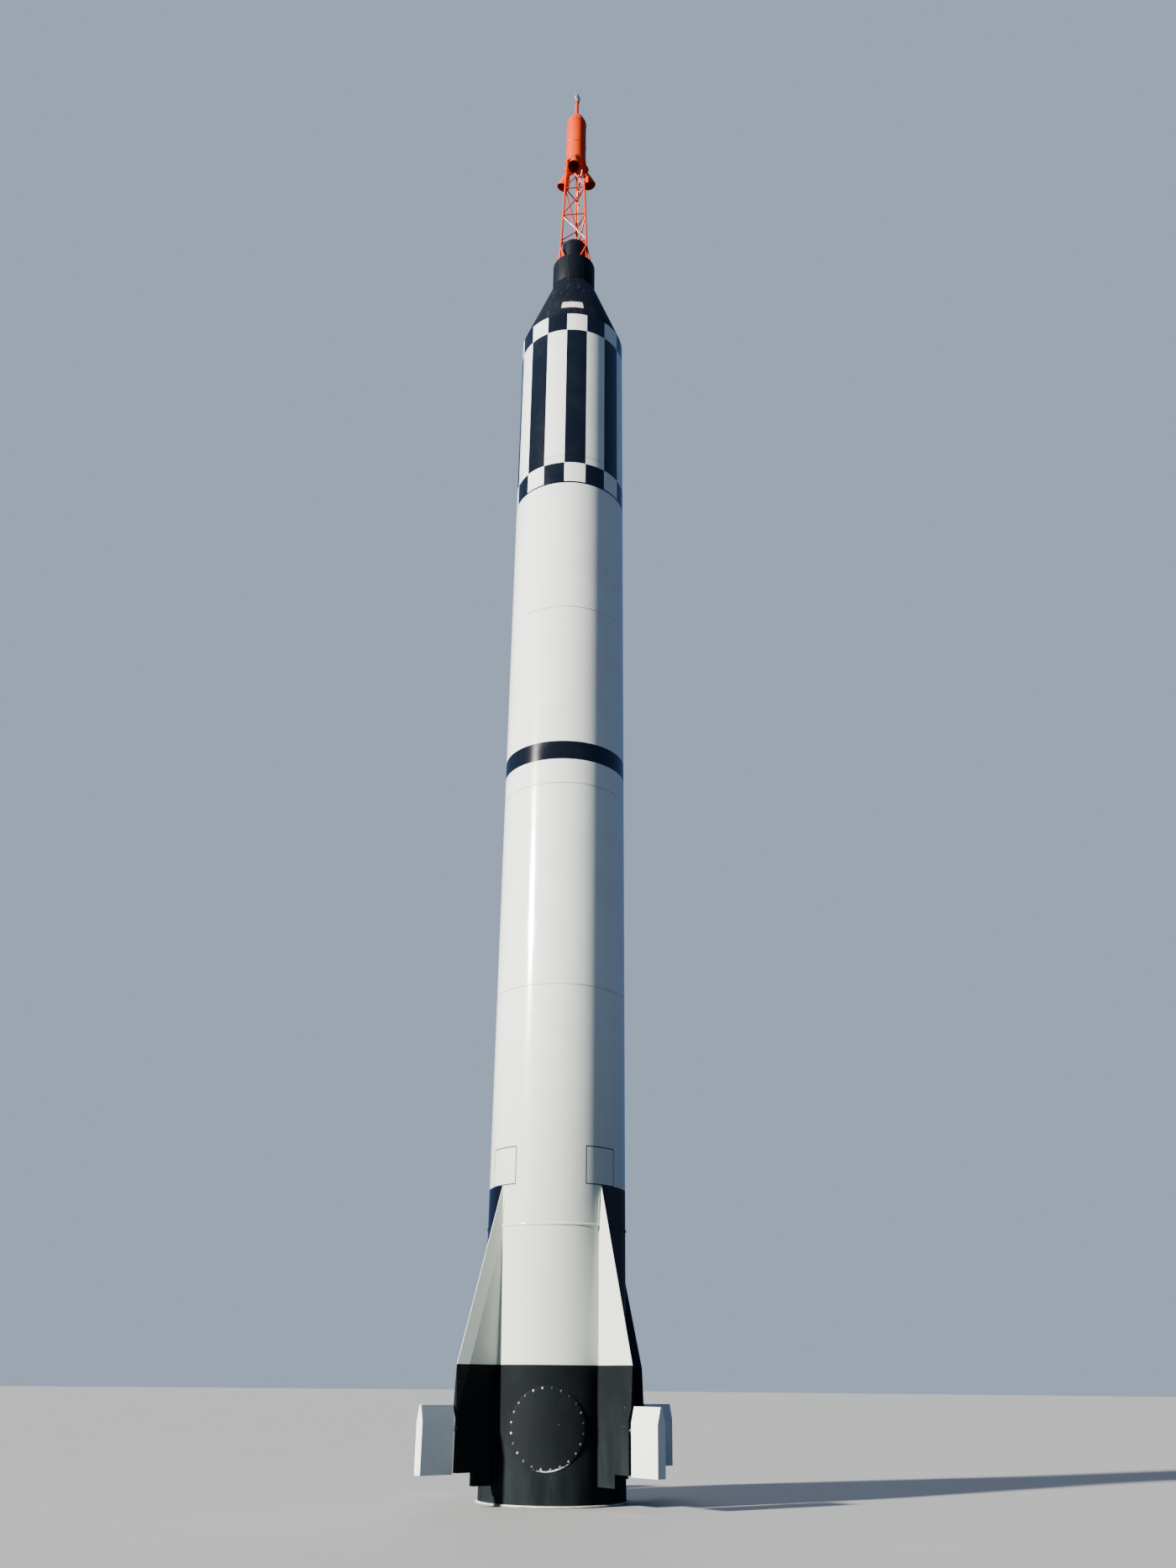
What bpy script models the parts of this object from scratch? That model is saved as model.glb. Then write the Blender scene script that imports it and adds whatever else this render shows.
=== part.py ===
"""Full-size outdoor display rocket with four air rudders, for Blender 4.5. Metres, +Z up.

The origin is the centre of the base plate's underside, on the pad. The fins stand along the X and Y
axes. The front of the rocket, with its round access cover, faces halfway between -X and -Y.
"""

import math

import bmesh
import bpy
from mathutils import Matrix, Vector

# Fits, and how far a cutting tool runs on past what it shapes
SEAT_GAP = 0.0003
BEARING_GAP = 0.0005
RUDDER_GAP = 0.032
RAIL_GAP = 0.011
TOOL_REACH = 0.05
MERGE_DISTANCE = 0.00005
SHARP_ANGLE = 30.0

# Body, from the pad up
BODY_RADIUS = 0.89
BODY_SIDES = 96
BASE_PLATE_RADIUS = 0.905
BASE_PLATE_HEIGHT = 0.025
CONE_HEIGHT = 1.42
NECK_RADIUS = 0.386
NECK_HEIGHT = 0.58
NECK_SIDES = 64
CANISTER_RADIUS = 0.22
CANISTER_HEIGHT = 0.57
CANISTER_SIDES = 40

# Heights of the body's sections, between its ring seams
TAIL_HEIGHT = 3.025
LOWER_HEIGHT = 3.07
MIDDLE_HEIGHT = 2.98
UPPER_HEIGHT = 3.00
FORWARD_HEIGHT = 2.93
SKIRT_HEIGHT = 3.11

# Access cover on the tail section
FRONT_ANGLE = 225.0
COVER_ANGLE = 226.5
COVER_RADIUS = 0.45
COVER_HEIGHT = 0.81
COVER_THICKNESS = 0.008
COVER_SIDES = 48

# Fins: radii are from the rocket's axis, heights from the pad
FIN_APEX_HEIGHT = 3.56
FIN_SHOULDER_HEIGHT = 1.47
FIN_TIP_RADIUS = 1.467
FIN_TIP_BOTTOM = 0.345
FIN_NOTCH_RADIUS = 1.19
FIN_ROOT_BOTTOM = 0.205
FIN_THICKNESS = 0.076
FIN_EDGE_THICKNESS = 0.008
FIN_BEVEL_WIDTH = 0.155
FIN_ROOT_OVERLAP = 0.09
FIN_EDGE_SLOPE = (FIN_APEX_HEIGHT - FIN_SHOULDER_HEIGHT) / (FIN_TIP_RADIUS - BODY_RADIUS)

# Air rudders: each turns on a shaft that runs out of its fin's end, which is set back beside it
RUDDER_TOP_SPAN = 0.445
RUDDER_BOTTOM_SPAN = 0.438
RUDDER_TOP_HEIGHT = 1.05
RUDDER_HEIGHT = 0.715
RUDDER_THICKNESS = 0.12
RUDDER_NOSE_HEIGHT = 0.176
RUDDER_NOSE_THICKNESS = 0.030
RUDDER_SHAFT_DROP = 0.25
SHAFT_HEIGHT = RUDDER_TOP_HEIGHT - RUDDER_SHAFT_DROP
SHAFT_RADIUS = 0.025
SHAFT_DEPTH_IN_FIN = 0.10
SHAFT_DEPTH_IN_RUDDER = 0.15
SHAFT_SIDES = 24
RELIEF_DEPTH = 0.038
RELIEF_DROP = 0.03
RELIEF_SLANT_HEIGHT = 0.12
RELIEF_RADIUS = FIN_TIP_RADIUS - RELIEF_DEPTH
RELIEF_TOP = RUDDER_TOP_HEIGHT - RELIEF_DROP

# Tower
TOWER_HEIGHT = 2.81
TOWER_FOOT_HEIGHT = 0.46
TOWER_LOW_RADIUS = 0.279
TOWER_HIGH_RADIUS = 0.187
LEG_RADIUS = 0.020
LEG_SIDES = 12
BRACE_RADIUS = 0.014
BRACE_SIDES = 8
BRACE_NODE_OFFSET = 0.045
FOOT_SPREAD = 0.20
FOOT_BAR_RADIUS = 0.016
LOWEST_RAIL_HEIGHT = CANISTER_HEIGHT + BRACE_RADIUS + RAIL_GAP

# Ways that the diagonals of the tower's bays lean, from the lowest bay up
BAY_LEANS = (1, -1, 1)

# Escape motor
FLANGE_RADIUS = 0.208
FLANGE_THICKNESS = 0.035
MOTOR_RADIUS = 0.192
MOTOR_HEIGHT = 1.16
MOTOR_SHOULDER_HEIGHT = 0.15
MOTOR_SHOULDER_RADIUS = 0.135
MOTOR_CROWN_HEIGHT = 0.09
MOTOR_CROWN_RADIUS = 0.054
MOTOR_SIDES = 48
BAND_THICKNESS = 0.006
BAND_WIDTH = 0.03
ROD_RADIUS = 0.036
ROD_LENGTH = 0.46
ROD_SIDES = 16
FINIAL_STEP_HEIGHT = 0.06
FINIAL_COLLAR_HEIGHT = 0.03

# Radii of the stepped finial, from its top down
FINIAL_RADII = (0.030, 0.050, 0.066)

# Escape nozzles: lengths along a nozzle's own axis, from its mouth
NOZZLE_TILT = 19.0
NOZZLE_EXIT_RADIUS = 0.120
NOZZLE_EXIT_OFFSET = 0.305
NOZZLE_DROP = 0.40
NOZZLE_WAIST_RADIUS = 0.087
NOZZLE_WAIST_LENGTH = 0.165
NOZZLE_THROAT_RADIUS = 0.045
NOZZLE_THROAT_LENGTH = 0.33
NOZZLE_INLET_RADIUS = 0.092
NOZZLE_INLET_TAPER = 0.038
NOZZLE_INLET_SIDE = 0.045
NOZZLE_INLET_DOME = 0.067
NOZZLE_DOME_STEPS = 5
NOZZLE_WALL = 0.007
NOZZLE_SIDES = 28

# Finishes: colour, roughness, metallic
WHITE = ((0.80, 0.79, 0.74), 0.35, 0.0)
BLACK = ((0.030, 0.034, 0.040), 0.25, 0.0)
RED = ((0.80, 0.10, 0.035), 0.30, 0.0)
STEEL = ((0.45, 0.46, 0.47), 0.45, 1.0)

# Columns: name, height between its seams, lower radius, upper radius, sides, finish
STACK = (
    ("base_plate", BASE_PLATE_HEIGHT, BASE_PLATE_RADIUS, BASE_PLATE_RADIUS, BODY_SIDES, STEEL),
    ("hull_tail", TAIL_HEIGHT, BODY_RADIUS, BODY_RADIUS, BODY_SIDES, BLACK),
    ("hull_lower", LOWER_HEIGHT, BODY_RADIUS, BODY_RADIUS, BODY_SIDES, WHITE),
    ("hull_middle", MIDDLE_HEIGHT, BODY_RADIUS, BODY_RADIUS, BODY_SIDES, WHITE),
    ("hull_upper", UPPER_HEIGHT, BODY_RADIUS, BODY_RADIUS, BODY_SIDES, WHITE),
    ("hull_forward", FORWARD_HEIGHT, BODY_RADIUS, BODY_RADIUS, BODY_SIDES, WHITE),
    ("capsule_skirt", SKIRT_HEIGHT, BODY_RADIUS, BODY_RADIUS, BODY_SIDES, WHITE),
    ("capsule_cone", CONE_HEIGHT, BODY_RADIUS, NECK_RADIUS, BODY_SIDES, BLACK),
    ("capsule_neck", NECK_HEIGHT, NECK_RADIUS, NECK_RADIUS, NECK_SIDES, BLACK),
    ("antenna_canister", CANISTER_HEIGHT, CANISTER_RADIUS, CANISTER_RADIUS, CANISTER_SIDES, BLACK),
)

# Columns: name, angle about +Z from +X in degrees
FINS = (
    ("front_left", 180.0),
    ("front_right", 270.0),
    ("rear_right", 0.0),
    ("rear_left", 90.0),
)

# Columns: name of the tower's leg, angle about +Z from +X in degrees
LEGS = (
    ("left", FRONT_ANGLE - 60.0),
    ("right", FRONT_ANGLE + 60.0),
    ("rear", FRONT_ANGLE + 180.0),
)

# Columns: name of the nozzle, angle about +Z from +X in degrees
NOZZLES = (
    ("front", FRONT_ANGLE),
    ("right", FRONT_ANGLE + 120.0),
    ("left", FRONT_ANGLE - 120.0),
)

# Columns: name, height of its middle as a share of the motor's straight side
BANDS = (
    ("lower", 0.07),
    ("middle", 0.41),
    ("upper", 0.95),
)


def collection(name):
    """Make a collection in the scene."""
    made = bpy.data.collections.new(name)
    bpy.context.scene.collection.children.link(made)
    return made


def paint(name, colour, roughness, metallic):
    """Make a piece's plain finish."""
    material = bpy.data.materials.new(name + "_finish")
    material.use_nodes = True
    shader = material.node_tree.nodes["Principled BSDF"]
    shader.inputs["Base Color"].default_value = (*colour, 1.0)
    shader.inputs["Roughness"].default_value = roughness
    shader.inputs["Metallic"].default_value = metallic
    return material


def add_part(name, bm, finish):
    """Turn a bmesh into a named object of the rocket."""
    mesh = bpy.data.meshes.new(name)
    bm.to_mesh(mesh)
    bm.free()
    part = bpy.data.objects.new(name, mesh)
    mesh.materials.append(paint(name, *finish))
    mesh.shade_smooth()
    mesh.set_sharp_from_angle(angle=math.radians(SHARP_ANGLE))
    ROCKET.objects.link(part)
    return part


def add_cutter(name, bm):
    """Turn a bmesh into a hidden tool that shapes other pieces."""
    mesh = bpy.data.meshes.new(name)
    bm.to_mesh(mesh)
    bm.free()
    cutter = bpy.data.objects.new(name, mesh)
    cutter.hide_render = True
    cutter.display_type = "WIRE"
    CUTTERS.objects.link(cutter)
    return cutter


def combine(part, tool, operation):
    """Give a piece a Boolean with one tool."""
    modifier = part.modifiers.new(tool.name, "BOOLEAN")
    modifier.object = tool
    modifier.operation = operation


def column(bm, radius, low, high, sides, upper_radius=None):
    """Add an upright cylinder or cone frustum to a bmesh."""
    top = radius if upper_radius is None else upper_radius
    place = Matrix.Translation((0.0, 0.0, (low + high) / 2))
    bmesh.ops.create_cone(
        bm, cap_ends=True, segments=sides, radius1=radius, radius2=top, depth=high - low, matrix=place
    )


def strut(bm, start, end, radius, sides, extend=0.0):
    """Add a round bar between two points, run on past both by extend."""
    run = end - start
    place = Matrix.Translation((start + end) / 2) @ run.to_track_quat("Z", "Y").to_matrix().to_4x4()
    bmesh.ops.create_cone(
        bm,
        cap_ends=True,
        segments=sides,
        radius1=radius,
        radius2=radius,
        depth=run.length + 2 * extend,
        matrix=place,
    )


def shave(bm, point, normal):
    """Cut off what lies past a plane and close the cut."""
    geometry = bm.verts[:] + bm.edges[:] + bm.faces[:]
    bmesh.ops.bisect_plane(bm, geom=geometry, plane_co=point, plane_no=normal, clear_outer=True)
    rim = [edge for edge in bm.edges if edge.is_boundary]
    bmesh.ops.holes_fill(bm, edges=rim, sides=0)


def merge(target, source):
    """Move a bmesh's geometry into another one."""
    mesh = bpy.data.meshes.new("merged")
    source.to_mesh(mesh)
    source.free()
    target.from_mesh(mesh)
    bpy.data.meshes.remove(mesh)


def plate(outline, thickness):
    """Return a flat plate in the XZ plane, as thick as stated, from its (x, z) outline."""
    curve = bpy.data.curves.new("outline", "CURVE")
    curve.dimensions = "2D"
    curve.fill_mode = "BOTH"
    curve.extrude = thickness / 2
    spline = curve.splines.new("POLY")
    spline.points.add(len(outline) - 1)
    spline.use_cyclic_u = True
    for point, (x, z) in zip(spline.points, outline):
        point.co = (x, z, 0.0, 1.0)
    guide = bpy.data.objects.new("outline", curve)
    CUTTERS.objects.link(guide)
    graph = bpy.context.evaluated_depsgraph_get()
    mesh = bpy.data.meshes.new_from_object(guide.evaluated_get(graph))
    bm = bmesh.new()
    bm.from_mesh(mesh)
    bpy.data.objects.remove(guide)
    bpy.data.meshes.remove(mesh)
    bmesh.ops.remove_doubles(bm, verts=bm.verts[:], dist=MERGE_DISTANCE)
    upright = Matrix.Rotation(math.radians(90.0), 4, "X")
    bmesh.ops.transform(bm, matrix=upright, verts=bm.verts[:])
    bmesh.ops.recalc_face_normals(bm, faces=bm.faces[:])
    return bm


def polar(angle, radius, height):
    """Return the point at an angle about the rocket's axis."""
    turn = math.radians(angle)
    return Vector((radius * math.cos(turn), radius * math.sin(turn), height))


def turned(name, profile, sides, finish=None):
    """Turn a profile of (radius, height) points about Z, from the top down its outer side.

    With a finish it is a piece of the rocket, and without one it is a tool.
    """
    bm = bmesh.new()
    points = [bm.verts.new((radius, 0.0, height)) for radius, height in profile]
    for upper, lower in zip(points, points[1:]):
        bm.edges.new((upper, lower))
    part = add_part(name, bm, finish) if finish else add_cutter(name, bm)
    spin = part.modifiers.new("Turn", "SCREW")
    spin.steps = sides
    spin.render_steps = sides
    spin.use_merge_vertices = True
    spin.merge_threshold = MERGE_DISTANCE
    return part


def level(name):
    """Return the height of the seam above a piece of the stack."""
    names = [row[0] for row in STACK]
    return sum(row[1] for row in STACK[: names.index(name) + 1])


def build_stack():
    """Build the sections of the body, one on top of the other."""
    for name, height, lower, upper, sides, finish in STACK:
        bm = bmesh.new()
        top = level(name)
        column(bm, lower, top - height, top - SEAT_GAP, sides, upper)
        add_part(name, bm, finish)


def build_cover():
    """Build the curved round access cover that lies on the tail section."""
    inner = BODY_RADIUS + SEAT_GAP
    outer = inner + COVER_THICKNESS
    low = COVER_HEIGHT - COVER_RADIUS - TOOL_REACH
    high = COVER_HEIGHT + COVER_RADIUS + TOOL_REACH
    profile = ((inner, high), (outer, high), (outer, low), (inner, low), (inner, high))
    cover = turned("access_cover", profile, BODY_SIDES, BLACK)
    bm = bmesh.new()
    side_depth = math.sqrt(BODY_RADIUS**2 - COVER_RADIUS**2)
    start = polar(COVER_ANGLE, side_depth - TOOL_REACH, COVER_HEIGHT)
    end = polar(COVER_ANGLE, outer + TOOL_REACH, COVER_HEIGHT)
    strut(bm, start, end, COVER_RADIUS, COVER_SIDES)
    combine(cover, add_cutter("cover_outline", bm), "INTERSECT")


def fin_mesh():
    """Return a fin in the XZ plane, from inside the body out to its tip."""
    root = BODY_RADIUS - FIN_ROOT_OVERLAP
    outline = (
        (root, FIN_ROOT_BOTTOM),
        (FIN_NOTCH_RADIUS, FIN_ROOT_BOTTOM),
        (FIN_NOTCH_RADIUS, FIN_TIP_BOTTOM),
        (RELIEF_RADIUS, FIN_TIP_BOTTOM),
        (RELIEF_RADIUS, RELIEF_TOP - RELIEF_SLANT_HEIGHT),
        (FIN_TIP_RADIUS, RELIEF_TOP),
        (FIN_TIP_RADIUS, FIN_SHOULDER_HEIGHT),
        (root, FIN_APEX_HEIGHT + FIN_ROOT_OVERLAP * FIN_EDGE_SLOPE),
    )
    bm = plate(outline, FIN_THICKNESS)
    edge_line = Vector((-1.0, 0.0, FIN_EDGE_SLOPE)).normalized()
    for way in (-1, 1):
        edge = Vector((FIN_TIP_RADIUS, way * FIN_EDGE_THICKNESS / 2, FIN_SHOULDER_HEIGHT))
        ridge = Vector((FIN_TIP_RADIUS - FIN_BEVEL_WIDTH, way * FIN_THICKNESS / 2, FIN_SHOULDER_HEIGHT))
        normal = edge_line.cross(ridge - edge).normalized()
        shave(bm, edge, normal if normal.y * way > 0 else -normal)
    return bm


def build_fins(body_cutter):
    """Build the four fins, each let onto the body and bored for its rudder's shaft."""
    bm = fin_mesh()
    for name, angle in FINS:
        fin = add_part("fin_" + name, bm.copy(), WHITE)
        fin.rotation_euler.z = math.radians(angle)
        combine(fin, body_cutter, "DIFFERENCE")
        bore = bmesh.new()
        start = polar(angle, RELIEF_RADIUS - SHAFT_DEPTH_IN_FIN - SEAT_GAP, SHAFT_HEIGHT)
        end = polar(angle, FIN_TIP_RADIUS + RUDDER_GAP / 2, SHAFT_HEIGHT)
        strut(bore, start, end, SHAFT_RADIUS + BEARING_GAP, SHAFT_SIDES)
        combine(fin, add_cutter("bore_in_fin_" + name, bore), "DIFFERENCE")
    bm.free()


def rudder_mesh():
    """Return a rudder with its root at x = 0 and its shaft's axis along X."""
    bm = bmesh.new()
    bottom = RUDDER_SHAFT_DROP - RUDDER_HEIGHT
    size = (RUDDER_TOP_SPAN, RUDDER_THICKNESS, RUDDER_HEIGHT)
    place = Matrix.Translation((RUDDER_TOP_SPAN / 2, 0.0, bottom + RUDDER_HEIGHT / 2))
    bmesh.ops.create_cube(bm, size=1.0, matrix=place @ Matrix.Diagonal((*size, 1.0)))
    for way in (-1, 1):
        slant = Vector((0.0, way * (RUDDER_THICKNESS - RUDDER_NOSE_THICKNESS) / 2, -RUDDER_NOSE_HEIGHT))
        tip = Vector((0.0, way * RUDDER_NOSE_THICKNESS / 2, RUDDER_SHAFT_DROP))
        shave(bm, tip, Vector((0.0, -slant.z * way, slant.y * way)))
    outer_edge = Vector((RUDDER_TOP_SPAN - RUDDER_BOTTOM_SPAN, 0.0, RUDDER_HEIGHT))
    shave(bm, Vector((RUDDER_BOTTOM_SPAN, 0.0, bottom)), Vector((outer_edge.z, 0.0, -outer_edge.x)))
    return bm


def build_rudders():
    """Build the four air rudders and the shafts that they turn with."""
    bm = rudder_mesh()
    root_radius = FIN_TIP_RADIUS + RUDDER_GAP
    for name, angle in FINS:
        place = polar(angle, root_radius, SHAFT_HEIGHT)
        rudder = add_part("rudder_" + name, bm.copy(), WHITE)
        rudder.location = place
        rudder.rotation_euler.z = math.radians(angle)
        bore = bmesh.new()
        start = polar(angle, root_radius - RUDDER_GAP / 2, SHAFT_HEIGHT)
        end = polar(angle, root_radius + SHAFT_DEPTH_IN_RUDDER + SEAT_GAP, SHAFT_HEIGHT)
        strut(bore, start, end, SHAFT_RADIUS + SEAT_GAP, SHAFT_SIDES)
        combine(rudder, add_cutter("bore_in_rudder_" + name, bore), "DIFFERENCE")
        bar = bmesh.new()
        inner = Vector((-RUDDER_GAP - RELIEF_DEPTH - SHAFT_DEPTH_IN_FIN, 0.0, 0.0))
        outer = Vector((SHAFT_DEPTH_IN_RUDDER, 0.0, 0.0))
        strut(bar, inner, outer, SHAFT_RADIUS, SHAFT_SIDES)
        shaft = add_part("rudder_shaft_" + name, bar, STEEL)
        shaft.location = place
        shaft.rotation_euler.z = math.radians(angle)
    bm.free()


def leg_point(angle, height):
    """Return the point on a tower leg's centre line at a height above the neck."""
    share = (height - TOWER_FOOT_HEIGHT) / (TOWER_HEIGHT - TOWER_FOOT_HEIGHT)
    radius = TOWER_LOW_RADIUS + share * (TOWER_HIGH_RADIUS - TOWER_LOW_RADIUS)
    return polar(angle, radius, level("capsule_neck") + height)


def slab(name, low, high):
    """Make a flat round tool that keeps what lies between two heights."""
    bm = bmesh.new()
    column(bm, BODY_RADIUS, low, high, MOTOR_SIDES)
    return add_cutter(name, bm)


def add_rail(bm, angle, following, height):
    """Add the rail between two legs, mitred at both against its neighbours."""
    rail = bmesh.new()
    start = leg_point(angle, height)
    end = leg_point(following, height)
    strut(rail, start, end, BRACE_RADIUS, BRACE_SIDES)
    for leg, turn, point in ((angle, -90.0, start), (following, 90.0, end)):
        outward = polar(leg + turn, 1.0, 0.0)
        shave(rail, point - outward * SEAT_GAP / 2, outward)
    merge(bm, rail)


def build_tower():
    """Build the tower's three welded sides, each a leg on its foot with the bars of one face."""
    neck = level("capsule_neck")
    zone = slab("tower_zone", neck, neck + TOWER_HEIGHT - SEAT_GAP)
    bay_height = (TOWER_HEIGHT - LOWEST_RAIL_HEIGHT) / len(BAY_LEANS)
    for index, (name, angle) in enumerate(LEGS):
        following = LEGS[(index + 1) % len(LEGS)][1]
        bars = bmesh.new()
        for bay, lean in enumerate(BAY_LEANS):
            height = LOWEST_RAIL_HEIGHT + bay * bay_height
            add_rail(bars, angle, following, height)
            low, high = (following, angle) if lean > 0 else (angle, following)
            start = leg_point(low, height + BRACE_NODE_OFFSET)
            end = leg_point(high, height + bay_height - BRACE_NODE_OFFSET)
            strut(bars, start, end, BRACE_RADIUS, BRACE_SIDES)
        side = add_part("tower_side_" + name, bars, RED)
        clearance = bmesh.new()
        ends = leg_point(following, 0.0), leg_point(following, TOWER_HEIGHT)
        strut(clearance, *ends, LEG_RADIUS + SEAT_GAP, LEG_SIDES, LEG_RADIUS)
        combine(side, add_cutter("clearance_" + name, clearance), "DIFFERENCE")
        knee = leg_point(angle, TOWER_FOOT_HEIGHT)
        leg = bmesh.new()
        ends = leg_point(angle, 0.0), leg_point(angle, TOWER_HEIGHT)
        strut(leg, *ends, LEG_RADIUS, LEG_SIDES, LEG_RADIUS)
        combine(side, add_cutter("leg_" + name, leg), "UNION")
        for way in (-1, 1):
            across = polar(angle + 90.0, way * FOOT_SPREAD, 0.0)
            sole = polar(angle, TOWER_LOW_RADIUS, neck) + across
            below = sole - (knee - sole).normalized() * FOOT_BAR_RADIUS
            foot = bmesh.new()
            strut(foot, below, knee, FOOT_BAR_RADIUS, BRACE_SIDES)
            combine(side, add_cutter(f"foot_{name}_{way}", foot), "UNION")
        combine(side, zone, "INTERSECT")


def build_motor():
    """Build the escape motor's flange, case, bands, rod and finial, and return the flange and case."""
    flange_low = level("capsule_neck") + TOWER_HEIGHT
    base = flange_low + FLANGE_THICKNESS
    bm = bmesh.new()
    column(bm, FLANGE_RADIUS, flange_low, base - SEAT_GAP, MOTOR_SIDES)
    flange = add_part("motor_flange", bm, RED)
    straight_top = base + MOTOR_HEIGHT
    shoulder_top = straight_top + MOTOR_SHOULDER_HEIGHT
    crown = shoulder_top + MOTOR_CROWN_HEIGHT
    case = (
        (0.0, crown),
        (MOTOR_CROWN_RADIUS, crown),
        (MOTOR_SHOULDER_RADIUS, shoulder_top),
        (MOTOR_RADIUS, straight_top),
        (MOTOR_RADIUS, base),
        (0.0, base),
    )
    motor = turned("motor_case", case, MOTOR_SIDES, RED)
    inner = MOTOR_RADIUS + SEAT_GAP
    outer = inner + BAND_THICKNESS
    for name, share in BANDS:
        middle = base + share * MOTOR_HEIGHT
        low = middle - BAND_WIDTH / 2
        high = middle + BAND_WIDTH / 2
        profile = ((inner, high), (outer, high), (outer, low), (inner, low), (inner, high))
        turned("motor_band_" + name, profile, MOTOR_SIDES, RED)
    rod_top = crown + ROD_LENGTH
    bm = bmesh.new()
    column(bm, ROD_RADIUS, crown + SEAT_GAP, rod_top, ROD_SIDES)
    add_part("top_rod", bm, RED)
    seat = rod_top + SEAT_GAP
    top = seat + FINIAL_STEP_HEIGHT * len(FINIAL_RADII)
    outline = [(0.0, top)]
    for radius in FINIAL_RADII:
        outline += [(radius, top), (radius, top - FINIAL_STEP_HEIGHT)]
        top -= FINIAL_STEP_HEIGHT
    outline[-1] = (FINIAL_RADII[-1], seat + FINIAL_COLLAR_HEIGHT)
    outline += [(ROD_RADIUS, seat), (0.0, seat)]
    turned("finial", outline, ROD_SIDES, STEEL)
    return flange, motor


def nozzle_place(angle):
    """Return the place and tilt of a nozzle whose mouth faces down its own -Z."""
    mouth = polar(angle, NOZZLE_EXIT_OFFSET, level("capsule_neck") + TOWER_HEIGHT - NOZZLE_DROP)
    turn = Matrix.Rotation(math.radians(angle), 4, "Z")
    cant = Matrix.Rotation(math.radians(-NOZZLE_TILT), 4, "Y")
    return Matrix.Translation(mouth) @ turn @ cant


def inlet_profile(grow):
    """Return the domed inlet's (radius, height) points from its crown down, grown by a clearance."""
    radius = NOZZLE_INLET_RADIUS + grow
    dome = NOZZLE_INLET_DOME + grow
    side_low = NOZZLE_THROAT_LENGTH + NOZZLE_INLET_TAPER
    side_high = side_low + NOZZLE_INLET_SIDE
    points = [(0.0, side_high + dome)]
    for step in range(1, NOZZLE_DOME_STEPS + 1):
        turn = math.pi / 2 * step / NOZZLE_DOME_STEPS
        points.append((radius * math.sin(turn), side_high + dome * math.cos(turn)))
    points.append((radius, side_low))
    return points


def build_nozzles(seats):
    """Build the three bells, canted outwards, and let their domed inlets into the motor's end."""
    bell_steps = (
        (NOZZLE_THROAT_RADIUS, NOZZLE_THROAT_LENGTH),
        (NOZZLE_WAIST_RADIUS, NOZZLE_WAIST_LENGTH),
        (NOZZLE_EXIT_RADIUS, 0.0),
    )
    lining = [(radius - NOZZLE_WALL, height) for radius, height in reversed(bell_steps)]
    inlet_floor = (0.0, NOZZLE_THROAT_LENGTH)
    profile = (*inlet_profile(0.0), *bell_steps, *lining, inlet_floor)
    seat_profile = (*inlet_profile(SEAT_GAP), bell_steps[0], inlet_floor)
    for name, angle in NOZZLES:
        bell = turned("escape_nozzle_" + name, profile, NOZZLE_SIDES, RED)
        bell.matrix_world = nozzle_place(angle)
        seat = turned("nozzle_seat_" + name, seat_profile, NOZZLE_SIDES)
        seat.matrix_world = nozzle_place(angle)
        for piece in seats:
            combine(piece, seat, "DIFFERENCE")


def body_clearance():
    """Make the tool that trims a fin's root to the body's outside."""
    bm = bmesh.new()
    high = FIN_APEX_HEIGHT + FIN_ROOT_OVERLAP * FIN_EDGE_SLOPE + TOOL_REACH
    column(bm, BODY_RADIUS + SEAT_GAP, FIN_ROOT_BOTTOM - TOOL_REACH, high, BODY_SIDES)
    return add_cutter("body_clearance", bm)


for existing in list(bpy.data.objects):
    bpy.data.objects.remove(existing, do_unlink=True)
ROCKET = collection("display_rocket")
CUTTERS = collection("cutters")
build_stack()
build_cover()
build_fins(body_clearance())
build_rudders()
build_tower()
build_nozzles(build_motor())
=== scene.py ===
"""The finished look of the tall display rocket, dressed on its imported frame.

Metres throughout, +Z up the rocket. The fins stand along X and Y, and the front, with the round access
cover, faces halfway between -X and -Y. Most skins take their place and size from the nodes they cover.
"""

import logging
import math
from collections.abc import Iterable, Sequence
from dataclasses import dataclass
from enum import Enum
from functools import reduce

import bmesh
import bpy
import numpy as np
from mathutils import Matrix, Vector


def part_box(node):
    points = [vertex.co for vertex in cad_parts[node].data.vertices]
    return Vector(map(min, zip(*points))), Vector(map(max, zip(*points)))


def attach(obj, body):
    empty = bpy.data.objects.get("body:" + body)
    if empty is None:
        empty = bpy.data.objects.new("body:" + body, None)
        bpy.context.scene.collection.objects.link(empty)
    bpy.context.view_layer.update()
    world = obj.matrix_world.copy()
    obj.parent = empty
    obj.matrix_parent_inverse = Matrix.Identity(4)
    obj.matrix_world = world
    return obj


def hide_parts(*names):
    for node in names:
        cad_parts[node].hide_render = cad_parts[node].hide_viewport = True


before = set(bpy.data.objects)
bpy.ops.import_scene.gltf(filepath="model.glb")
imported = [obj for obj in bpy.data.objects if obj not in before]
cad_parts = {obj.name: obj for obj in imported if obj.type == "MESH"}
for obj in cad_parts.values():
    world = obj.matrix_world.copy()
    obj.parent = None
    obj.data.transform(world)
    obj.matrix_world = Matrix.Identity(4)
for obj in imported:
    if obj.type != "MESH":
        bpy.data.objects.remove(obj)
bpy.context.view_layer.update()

LOG = logging.getLogger("rocket")

Colour = tuple[float, float, float]
Place = tuple[float, float, float]
Profile = list[tuple[float, float]]
Material = bpy.types.Material
Piece = bpy.types.Object
Socket = bpy.types.NodeSocket
Surface = bmesh.types.BMesh
Tree = bpy.types.NodeTree
Value = float | Socket

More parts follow.
